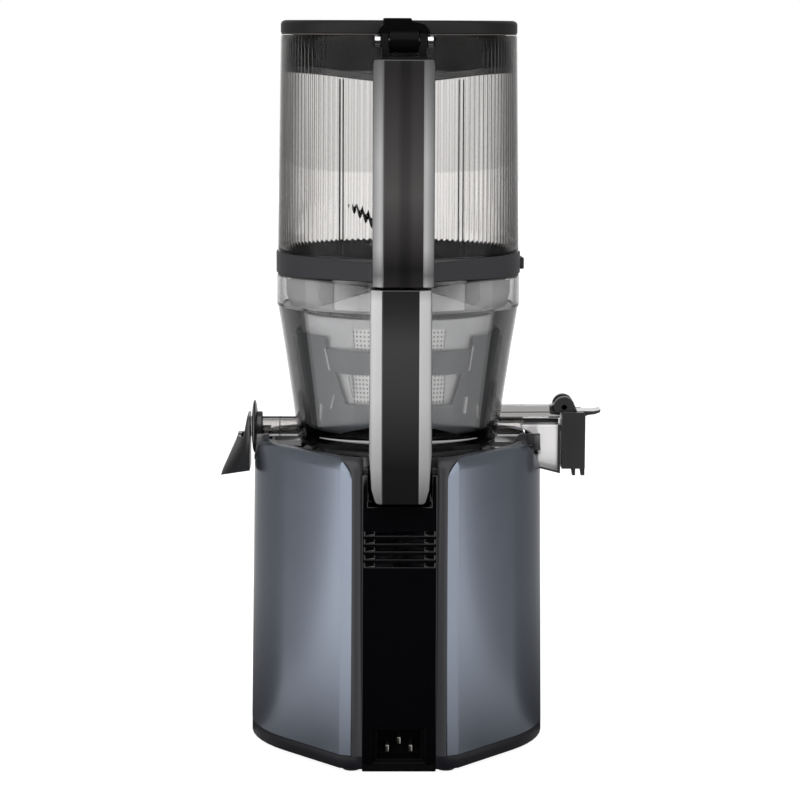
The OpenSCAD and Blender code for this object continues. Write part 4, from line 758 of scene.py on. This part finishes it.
# Painted light and shade along the bars, as (height in mm, share), for the cheeks and for the faces.
CHEEK_LIGHT = [(160, 0.1), (180, 0.5), (220, 0.9), (275, 1), (290, 0.15), (305, 0.65), (355, 0.65), (410, 0.1)]
FACE_LIGHT = [(160, 0.12), (180, 0.15), (225, 0.7), (250, 0.85), (270, 0.4), (294, 0.15), (335, 0.95),
              (405, 0.3)]


def bar_finish(name, colour, heights, coat=0.5):
    """Smoked plastic with painted light and shade along its height: darker where something dark stands behind
    it.
    """
    plain = finish_of(name, colour, 0.22, coat=coat, ior=1.3, mottle=0.06, stretch=(1, 1, 0.2))
    return fade(plain, "Z", heights)


def bar_ring(half, z, aside, flat_half, inset=0.0):
    y = FACE_Y + inset
    out = half - inset
    flat = flat_half - inset * 0.4
    back = BAR_BACK + (4 if inset else 0)
    slant = [(flat + (out - flat) * share, y + (out - flat) * share * SLOPE) for share in (1, 0.55, 0)]
    right = [(out, back)] + slant
    return [(x + aside, y, z) for x, y in right] + [(aside - x, y, z) for x, y in reversed(right)]


def handle_bar(name, levels, hollow, body, aside, flat_half, cheek_reach, face, cheek, stands_for):
    outside = [bar_ring(half, z, aside, flat_half) for half, z in levels]
    channel = [bar_ring(half, z, aside, flat_half, CHANNEL_WALL) for half, z in hollow]
    obj = stack(name, outside, body, face, stands_for, True, 20, 0.8)
    cut(obj, stack("hollow", channel, None, black_moulded, solid=True), 20)
    second_finish(obj, cheek, lambda at, out: flat_half + 0.3 < abs(at.x - aside) < cheek_reach
                  and out.y < -0.2 and at.y < CHEEK_BACK)


bar_smoked = bar_finish("bar_smoked", (0.042, 0.0405, 0.041), FACE_LIGHT)
# Painted light: the lower cheeks are pale, darker towards their outer edges and on the right.
low_cheek = fade(bar_finish("low_cheek", (0.45, 0.448, 0.453), CHEEK_LIGHT, 0.4), "X",
                 [(-18, 0.35), (-16, 0.9), (-11, 0.8), (11, 0.8), (16, 0.75), (18, 0.3)])
handle_bar("bowl_bar",
           [(13.4, 159.4), (14.6, 160.8), (16.6, 167.4), (18.0, 187.4), (17.7, 240), (17.5, BOWL_TOP)],
           [(14.6, 162.6), (16.6, 168.0), (18.0, 187.4), (17.5, BOWL_TOP - 2.5)],
           "bowl", 0.2, 10.7, 17.0, bar_smoked, low_cheek, ("bowl_handle",))

# ---- Outlets ----------------------------------------------------------------------------
# The juice tube ends in a clear block whose mouth a black cap shuts: moulded plastic on a steel
# pin, with a soft seal. The pulp tube passes a turning black ring and ends in a black chute.

BLOCK = [(74.2, 189.0), (77.8, 188.0), (80.0, 186.4), (81.6, 184.2), (83.3, 180.1), (84.3, 175.2),
         (84.6, 165.6), (98.0, 162.2), (98.0, 191.7), (74.2, 191.7)]
# Outline of the thin dark plates on the block's sides: painted shade along its mouth and foot.
BLOCK_SHADE = [(84.5, 165.4), (98.1, 162.0), (98.1, 191.8), (96.4, 191.8), (96.4, 163.6), (84.5, 166.7)]
CAP = [(98.9, 164.9), (113.0, 164.9), (113.0, 197.6), (112.0, 199.2), (98.9, 199.4)]
LEVER = [(105.6, 198.0), (112.6, 197.6), (112.9, 196.0), (114.8, 196.9), (119.0, 197.4), (122.2, 198.6),
         (122.6, 200.4), (121.2, 199.9), (118.3, 199.4), (105.6, 199.4)]
PULP_RING = [(6.3, -88.2), (9, -88.1), (13.5, -87.6), (15.6, -87.0), (16.0, -86.45), (15.6, -85.9),
             (13.5, -85.3), (9.1, -84.7), (9.1, -82.2), (8.6, -81.7), (6.3, -81.7)]


def box_cutter(name, low_x, high_x, low_z, high_z, half):
    outline = [(low_x, low_z), (high_x, low_z), (high_x, high_z), (low_x, high_z)]
    return prism(name, outline, -half, half, "Y")


def juice_spout():
    obj = prism("spout_block", BLOCK, -11, 11, "Y", "bowl", spout_clear, "smoked_clear", ("juice_spout",), 1.2)
    cut(obj, box_cutter("mouth", 95.8, 99.5, 165.6, 188.0, 8.6))
    # Painted shade: a thin dark plate on each side of the block stands in for the shade inside it.
    for side in (-1, 1):
        prism("spout_shade_plate", BLOCK_SHADE, side * 11.5, side * 11.1, "Y", "bowl", key_smoked, "smoked_clear")


def juice_cap():
    """A black cap with two ears on a pin, a thin lever and two prongs."""
    finish = ("cap", outlet_black, "black_plastic")
    obj = prism("cap_block", CAP, -12.4, 12.4, "Y", *finish, ("juice_cap",), 1.2)
    cut(obj, rod("gap", (PIN_X, -4.9, PIN_Z), (PIN_X, 4.9, PIN_Z), 4.9))
    cut(obj, box_cutter("hollow", 101.4, 110.6, 167.2, 196.0, 9.9))
    prism("cap_lever", LEVER, -7, 7, "Y", "cap", lever_gloss, "black_plastic", edge=0.25)
    turns = [math.radians(200 - 9 * i) for i in range(20)]
    dome = [(PIN_X + 6.4 * math.cos(t), PIN_Z + 6.4 * math.sin(t)) for t in turns]
    for side in (-1, 1):
        prism("cap_ear", dome + [(108.4, 199.2), (95.4, 198.6)], side * 8.6, side * 5.0, "Y", *finish, edge=0.5)
    for low, high in ((105.4, 107.4), (110.6, 113.0)):
        prong = [(low, 160.6), (high, 160.6), (high, 166.0), (low - 0.8, 166.0)]
        prism("cap_prong", prong, -10.6, -6.4, "Y", *finish, edge=0.3)


dress("cap_pin", ground_steel, 0.2)
dress("pulp_chute", outlet_black, 0.3)
pale_silicone = finish_of("pale_silicone", (0.8, 0.8, 0.78), 0.5, mottle=0.05)
dress("cap_seal", pale_silicone, 0)
lever_gloss = finish_of("lever_gloss", (0.03, 0.03, 0.031), 0.14, coat=1.0)
spout_clear = smoked("spout_clear", (0.90, 0.885, 0.885), 18.0, clear=0.55)
# Painted shade: the clear block darkens towards its outline and towards its foot.
fade(spout_clear, "Facing", [(0, 1), (0.25, 0.9), (0.5, 0.5), (0.8, 0.4), (0.95, 0.7), (1, 0.8)])
fade(spout_clear, "Z", [(161, 0.3), (165, 0.42), (168, 0.7), (172, 0.92), (177, 1), (192, 1)])
juice_spout()
juice_cap()
stack("pulp_ring_disc", [[(x, y, TUBE_Z + z) for y, z in circle(r, 96)] for r, x in PULP_RING],
      "pulp_control", outlet_black, ("pulp_ring",))

# ---- Strainer, wiper and screw ----------------------------------------------------------
# The slate plastic cage turns round the strainer and wipes it with silicone blades; its windows
# show the strainer's steel sheet. The black screw turns in the middle with its cutting wing.

CAGE = [(51.3, 184.6), (61.5, 248.6)]
CAGE_WALL = 2.2
CAGE_LEVELS = [184.6, 188, 196, 203, 212, 220, 228, 236, 242, 248.6]
CAGE_WINDOWS = [(208.8, 227.0, 31.0, 37.0), (241.3, 252.0, 42.5, 43.5)]  # low, high, half widths there
STRAINER_WINDOWS = [(205.0, 227.2, 26, 27), (241.6, 254.0, 26, 27)]
SIEVE_PITCH = 2.6
SIEVE_ROUND = 150
SIEVE_STEEL, SIEVE_HOLE = (0.70, 0.70, 0.69), (0.25, 0.25, 0.25)
BLADES = [  # ends of the pale blade edges that show on the cage's back, and their radius
    ((-43.3, 241.5), (-40.5, 228.4), 0.55), ((43.3, 243.1), (41.1, 228.4), 0.55),
    ((-29.8, 225.6), (-27.4, 213.4), 0.6), ((-37.9, 213.5), (-39.8, 205.2), 0.4),
    ((-45.3, 206.7), (-46.0, 197.1), 1.0), ((39.5, 212.4), (38.4, 202.7), 1.2),
    ((46.6, 206.2), (47.4, 197.8), 1.1),
]
WING = [(-28.2, 324.0), (-26.8, 324.6), (-16.6, 317.6), (-4, 309.5), (8, 306), (8, 302), (-6, 303),
        (-17.3, 312.8), (-27.4, 321.0)]


def turned(name, profile, body, material, stands_for=(), count=240, solid=False):
    """A piece turned round the screw's axis from a closed section of radius and height pairs."""
    rings = [level(circle(r, count), z) for r, z in profile]
    return stack(name, rings, body, material, stands_for, solid)


def cone_r(z, inset=0.0):
    (low_r, low), (high_r, high) = CAGE
    return low_r + (high_r - low_r) * (z - low) / (high - low) - inset


def turn_of(made, link, place):
    """The angle round the screw's axis."""
    return maths(made, link, "ARCTAN2", place["Y"], place["X"])


def sieve_finish():
    """Bright steel sheet with rows of small holes, staggered from row to row."""
    material = finish_of("sieve_steel", SIEVE_STEEL, 0.4, metallic=0.3)
    made, link, shader = opened(material)
    place = axes(made, link)
    turn = turn_of(made, link, place)
    waves = []
    for sign in (1, -1):
        slant = maths(made, link, "MULTIPLY", turn, sign * SIEVE_ROUND / 2)
        rise = maths(made, link, "MULTIPLY_ADD", place["Z"], math.pi / (SIEVE_PITCH * MM), slant)
        waves.append(maths(made, link, "COSINE", rise))
    hole = maths(made, link, "GREATER_THAN", maths(made, link, "MULTIPLY", *waves), 0.45)
    link.new(mixed_colour(made, link, hole, SIEVE_STEEL, SIEVE_HOLE), shader.inputs["Base Color"])
    return material


def cut_windows(obj, windows, near):
    """Cuts the windows through the left and the right of a cage, from near outwards."""
    for low, high, narrow, wide in windows:
        for side in (-90, 90):
            turn = Matrix.Rotation(math.radians(side), 3, "Z")
            outline = [(-narrow, low), (narrow, low), (wide, high), (-wide, high)]
            rings = [[tuple(turn @ Vector((x, y, z))) for y, z in outline] for x in (near, 75.0)]
            cut(obj, stack("window", rings, None, slate, solid=True))


def wiper_cage():
    profile = [(cone_r(z), z) for z in CAGE_LEVELS[:-1]]
    profile += [(cone_r(248.2), 248.2), (cone_r(248.6) - 0.4, 248.6), (cone_r(248.6, CAGE_WALL), 248.6)]
    profile += [(cone_r(z, CAGE_WALL), z) for z in reversed(CAGE_LEVELS[2:-1])]
    profile += [(cone_r(190, CAGE_WALL), 190), (43.0, 190), (43.0, 184.6)]
    obj = turned("wiper_cage", profile, "wiper", slate, ("wiper_frame",))
    cut_windows(obj, CAGE_WINDOWS, 30.0)
    round_edges(obj, 0.5, 50, 2)
    for *ends, radius in BLADES:
        ends = [(x, -math.sqrt((cone_r(z) + 0.2) ** 2 - x * x), z) for x, z in ends]
        rod("blade_edge", *ends, radius, "wiper", pale_silicone, "silicone_pale", 16)


def strainer():
    gap = CAGE_WALL + 1.0
    outer = [(cone_r(z, gap), z) for z in (192.5, 200, 215, 230, 248.6)]
    collar = outer[-1][0]
    outer += [(collar, 252), (collar, 259.1), (collar - 0.4, 259.5), (collar - 1.6, 259.5)]
    inner = [(collar - 1.8, 252), (collar - 1.8, 249)] + [(r - 1.6, z) for r, z in reversed(outer[:4])]
    obj = turned("strainer_body", outer + inner, "bowl", strainer_grey, ("strainer_frame",))
    cut_windows(obj, STRAINER_WINDOWS, 38.0)
    sheet = [(cone_r(z, gap + 0.5), z) for z in (195, 215, 235, 248.6)]
    sheet.append((sheet[-1][0], 256))
    turned("strainer_sheet", sheet + [(r - 0.5, z) for r, z in reversed(sheet)], "bowl", sieve_finish(),
           ("strainer_mesh",))


slate = finish_of("slate_plastic", (0.118, 0.126, 0.138), 0.32, grain=(0.4, 0.05), mottle=0.03)
strainer_grey = finish_of("strainer_grey", (0.64, 0.645, 0.655), 0.3, grain=(0.4, 0.05))
screw_black = finish_of("screw_black", (0.008, 0.008, 0.009), 0.25, mottle=0.1, ior=1.3)
wiper_cage()
strainer()
dress("wiper_blades", pale_silicone, 0.2)
dress("auger_screw", screw_black, 0)
turned("screw_hub", [(1, 300), (14.9, 300), (12, 307), (1, 307.2)], "auger", screw_black,
       ("cutting_wing",), 96, True)
prism("wing_blade", WING, -19, -11.5, "Y", "auger", screw_black, "black_plastic", edge=0.5)

# ---- Hopper -----------------------------------------------------------------------------
# A clear moulded tube with upright flutes inside, on a dark plastic ring that sits on the bowl.
# The ring's back carries the upper bar, whose hinge block holds the lid's steel pin.

HOPPER_FOOT_R, HOPPER_TOP_R = 72.3, 70.3
HOPPER_BORE = 66.6
HOPPER_LOW, HOPPER_TOP = 296.1, 424.0
RING_LOW = 282.9
RING_R = 73.2
FLUTES = 120
FLUTE_DEPTH = 0.6
FLUTED_LEVELS = [HOPPER_LOW, 301, 303.5, 330, 360, 390, 415, 420, HOPPER_TOP - 0.5, HOPPER_TOP]
# Painted shade: the flutes' darker line colour, and the share of colour by how far the hopper turns from the
# viewer (place, share)
CLEAR_TINT, FLUTE_SHADE = (0.97, 0.965, 0.96), (0.64, 0.63, 0.62)
HOPPER_OUTLINE_SHADE = [(0, 1), (0.33, 1), (0.43, 0.7), (0.5, 0.4), (0.6, 0.3), (0.7, 0.35), (0.8, 0.65), (1, 1)]
HOPPER_ASIDE = 1.4  # the upper bar and the hinge stand this far to the right


def fluted_finish():
    """Warm clear plastic; a fine darker line is painted on each flute for the light it bends, and shade is
    painted towards the outline.
    """
    material = finish_of("hopper_clear", CLEAR_TINT, 0.02, clear=1.0, ior=1.12, coat=0.05, spread=0.3,
                         absorb=((0.52, 0.505, 0.50), 64.0))
    made, link, shader = opened(material)
    turn = turn_of(made, link, axes(made, link))
    wave = maths(made, link, "SINE", maths(made, link, "MULTIPLY", turn, FLUTES))
    line = spanned(made, link, wave, 0.35, 1.0)
    link.new(mixed_colour(made, link, line, CLEAR_TINT, FLUTE_SHADE), shader.inputs["Base Color"])
    return fade(material, "Facing", HOPPER_OUTLINE_SHADE)


def fluted_wall():
    around = FLUTES * 6
    rings = []
    for z in FLUTED_LEVELS:
        r = HOPPER_FOOT_R + (HOPPER_TOP_R - HOPPER_FOOT_R) * (z - HOPPER_LOW) / (HOPPER_TOP - HOPPER_LOW)
        rings.append(level(circle(r - (0.5 if z == HOPPER_TOP else 0), around), z))
    for z in reversed(FLUTED_LEVELS):
        deep = FLUTE_DEPTH if 303 < z < 420.5 else 0.0
        rim = 0.5 if z == HOPPER_TOP else 0
        rings.append([])
        for i, (x, y) in enumerate(circle(HOPPER_BORE, around)):
            out = 1 + (rim + deep * (0.5 + 0.5 * math.cos(math.pi * i / 3))) / HOPPER_BORE
            rings[-1].append((x * out, y * out, z))
    stack("fluted_wall", rings, "hopper", fluted_finish(), ("hopper_wall",), smooth=50)
    for x in (-34.6, -32.6, 33.6, 36.2):
        y = -math.sqrt(HOPPER_BORE ** 2 - x ** 2) + 0.6
        rod("guide_rib", (x, y, 297.5), (x, y, 399), 0.42, "hopper", rib_black, "hopper_clear", 12)


def hopper_ring():
    plan = bowl_plan(0.0, RING_R)
    flat = [min(1.0, max(0.0, (39.4 - abs(x)) / 0.8)) if y < -50 else 0.0 for x, y in plan]
    low = [RING_LOW + 2.1 * s for s in flat]
    high = HOPPER_LOW
    rings = [raised(bowl_plan(0.6, RING_R), low), raised(plan, [z + 0.6 for z in low]),
             level(plan, high - 0.9), level(bowl_plan(0.3, RING_R), high - 0.3),
             level(bowl_plan(1.0, RING_R), high), round_level(plan, HOPPER_BORE, high),
             round_level(plan, HOPPER_BORE, RING_LOW + 0.1), raised(round_level(plan, 69.5, 0), low)]
    stack("hopper_collar", rings, "hopper", ring_grey, ("hopper_ring",), smooth=40)
    turn = Matrix.Rotation(math.radians(4), 3, "Z")
    outline = [(72.4, -7), (75.4, -7), (75.4, 7), (72.4, 7)]
    rings = [[tuple(turn @ Vector((x, y, z))) for x, y in outline] for z in (284.9, 291.9)]
    stack("ring_tab", rings, "hopper", ring_grey, solid=True, edge=0.8)


def hopper_skirt():
    outer = [(65.0, 263.7), (65.3, 263.9), (67.4, 271.6), (67.4, 283.0)]
    obj = turned("inner_skirt", outer + [(r - 2.4, z) for r, z in reversed(outer)], "hopper", skirt_grey,
                 ("hopper_skirt",))
    cut(obj, box_cutter("window", -37, 37, 266, 281, 80))
    # Painted light: a pale pane in the window stands in for the light that comes through it.
    turns = [math.radians(-124 + 2 * i) for i in range(35)]
    plan = [(r * math.cos(t), r * math.sin(t)) for r, order in ((66.8, 1), (65.1, -1)) for t in turns[::order]]
    stack("skirt_light_pane", [level(plan, z) for z in (265.6, 282.9)], "hopper", skirt_lit_pane, solid=True)


ring_grey = finish_of("ring_grey", (0.021, 0.021, 0.0235), 0.42, grain=(0.35, 0.1), ior=1.25)
skirt_grey = finish_of("skirt_grey", (0.34, 0.34, 0.342), 0.25, coat=0.3, mottle=0.05)
skirt_lit_pane = finish_of("skirt_lit_pane", (0.80, 0.79, 0.785), 0.25, coat=0.3, mottle=0.05)
rib_black = finish_of("rib_black", (0.012, 0.012, 0.013), 0.25, mottle=0.1)
hopper_ring()
hopper_skirt()
fluted_wall()
dress("hopper_seal", rubber, 0)
dress("hinge_pin", ground_steel, 0.3)
dress("interlock_rod", screw_black, 0.2)

# The upper bar carries a hinge block at its top, with two ears round the lid's knuckle.
BAR_LOW, BAR_TOP = 283.3, 411.0
HINGE_Y, HINGE_Z = -96.0, 421.0
BRIDGE = [(-104.6, 403), (-67, 402), (-67, 411), (-91.5, 412.5), (-103.8, 412.5), (-104.6, 411.5)]
EAR = [(-103.2, 408), (-102.4, HINGE_Z), (-100.2, HINGE_Z + 4.2), (HINGE_Y, HINGE_Z + 5.8),
       (-91.8, HINGE_Z + 4.2), (-90.0, HINGE_Z), (-90.0, 408)]
# Painted shade: the upper bar's face is darker along a middle band, for the dark rod seen through it.
grip_shade = fade(bar_finish("grip_shade", (0.058, 0.054, 0.054), FACE_LIGHT), "X",
                 [(-2.5, 1), (0.5, 0.66), (4.0, 0.66), (7.0, 1)])
# Painted light: the upper cheeks are pale, with painted shade towards their edges.
top_cheek = fade(bar_finish("top_cheek", (0.88, 0.87, 0.877), CHEEK_LIGHT, 0.4), "X",
                 [(-16, 0.2), (-12, 0.5), (-10, 0.3), (13, 0.4), (14, 0.5), (19, 0.1)])
handle_bar("hopper_bar", [(17.5, BAR_LOW), (17.5, 350), (17.5, BAR_TOP - 3), (16.9, BAR_TOP)],
           [(17.5, BAR_LOW + 2.5), (17.5, 350), (17.5, BAR_TOP - 3)], "hopper", HOPPER_ASIDE, 11.5, 17.6,
           grip_shade, top_cheek, ("hopper_handle",))
hinge_black = finish_of("hinge_black", (0.002, 0.002, 0.002), 0.28, grain=(0.35, 0.08), ior=1.12)
block_finish = ("hopper", hinge_black, "grip_smoked")
prism("hinge_bridge", BRIDGE, HOPPER_ASIDE - 13.4, HOPPER_ASIDE + 13.4, "X", *block_finish, edge=0.5)
for side in (-1, 1):
    prism("hinge_ear", EAR, HOPPER_ASIDE + side * 8.8, HOPPER_ASIDE + side * 12.6, "X", *block_finish, edge=0.5)
    tips = [(HOPPER_ASIDE + side * reach, HINGE_Y, HINGE_Z) for reach in (12.2, 13.4, 16.4, 17.4)]
    rod("pin_collar", tips[0], tips[1], 3.9, *block_finish)
    rod("pin_tip", tips[1], tips[2], 3.2, "hopper", ground_steel, "steel_bright")
    rod("pin_end", tips[2], tips[3], 3.8, *block_finish, far_radius=3.0)

# ---- Lid --------------------------------------------------------------------------------
# A matte near-black moulded disc with a dark smoked skirt that dips into the hopper and ends in
# a rubber foot. Its boss and knuckle at the back swing on the steel pin.

LID_R = 70.3
LID_LOW, LID_TOP = 425.0, 432.7
KNUCKLE_HALF = 8.2
SKIRT_LOW = 404.4
SKIRT = [(63.5, SKIRT_LOW), (63.5, LID_LOW), (61.1, LID_LOW), (61.1, SKIRT_LOW)]
SKIRT_FOOT = [(63.3, 400.4), (63.8, 400.9), (63.8, 404.3), (60.8, 404.3), (60.8, 400.9), (61.3, 400.4)]


def skirt_rings(profile):
    """The skirt hangs a little lower towards the hinge."""
    return [[(x, y, z + (1.5 - 4.5 * max(0.0, -y / r) ** 5 if z < 410 else 0)) for x, y in circle(r, 240)]
            for r, z in profile]


def lid():
    profile = [(1, LID_LOW), (LID_R - 0.5, LID_LOW), (LID_R, LID_LOW + 0.5), (LID_R, LID_TOP - 2.4),
               (LID_R - 0.35, LID_TOP - 1.3), (LID_R - 1.2, LID_TOP - 0.5), (LID_R - 2.6, LID_TOP),
               (60, LID_TOP + 0.05), (1, LID_TOP + 0.1)]
    turned("lid_disc", profile, "lid", lid_dark, ("lid_panel",), solid=True)
    middle = HOPPER_ASIDE
    finish = ("lid", hinge_black, "lid_dark")
    boss = [(middle - 15.1, LID_LOW + 0.3), (middle + 15.1, LID_LOW + 0.3), (middle + 14.0, LID_LOW + 3.2),
            (middle + 11.6, LID_TOP - 2), (6.0, LID_TOP - 0.3), (5.4, LID_TOP + 1.2), (-10.0, LID_TOP + 1.2),
            (-10.4, LID_TOP - 0.3), (middle - 11.6, LID_TOP - 2), (middle - 14.0, LID_LOW + 3.2)]
    prism("hinge_boss", boss, HINGE_Y - 1, -58, "Y", *finish, edge=0.5)
    knuckle, bore = [[(x, HINGE_Y, HINGE_Z) for x in ends]
                     for ends in ((middle - KNUCKLE_HALF, middle + KNUCKLE_HALF), (-20, 20))]
    obj = rod("hinge_knuckle", *knuckle, 6.4, *finish, 64)
    cut(obj, rod("bore", *bore, 2.3, count=32))
    web = [(HINGE_Y - 1, HINGE_Z + 3), (HINGE_Y + 6, HINGE_Z + 3), (HINGE_Y + 6, LID_LOW + 2),
           (HINGE_Y - 1, LID_LOW + 2)]
    prism("knuckle_web", web, middle - KNUCKLE_HALF, middle + KNUCKLE_HALF, "X", *finish, edge=0.3)
    stack("lid_skirt_ring", skirt_rings(SKIRT), "lid", skirt_smoked, ("lid_skirt",))
    stack("skirt_foot", skirt_rings(SKIRT_FOOT), "lid", rib_black)


lid_dark = finish_of("lid_dark", (0.006, 0.006, 0.006), 0.45, grain=(0.35, 0.1), ior=1.22)
skirt_smoked = finish_of("skirt_smoked", (0.9, 0.9, 0.9), 0.05, clear=1.0, ior=1.12, absorb=(SMOKE, 1900.0))
lid()
dress("lid_seal", rubber, 0)
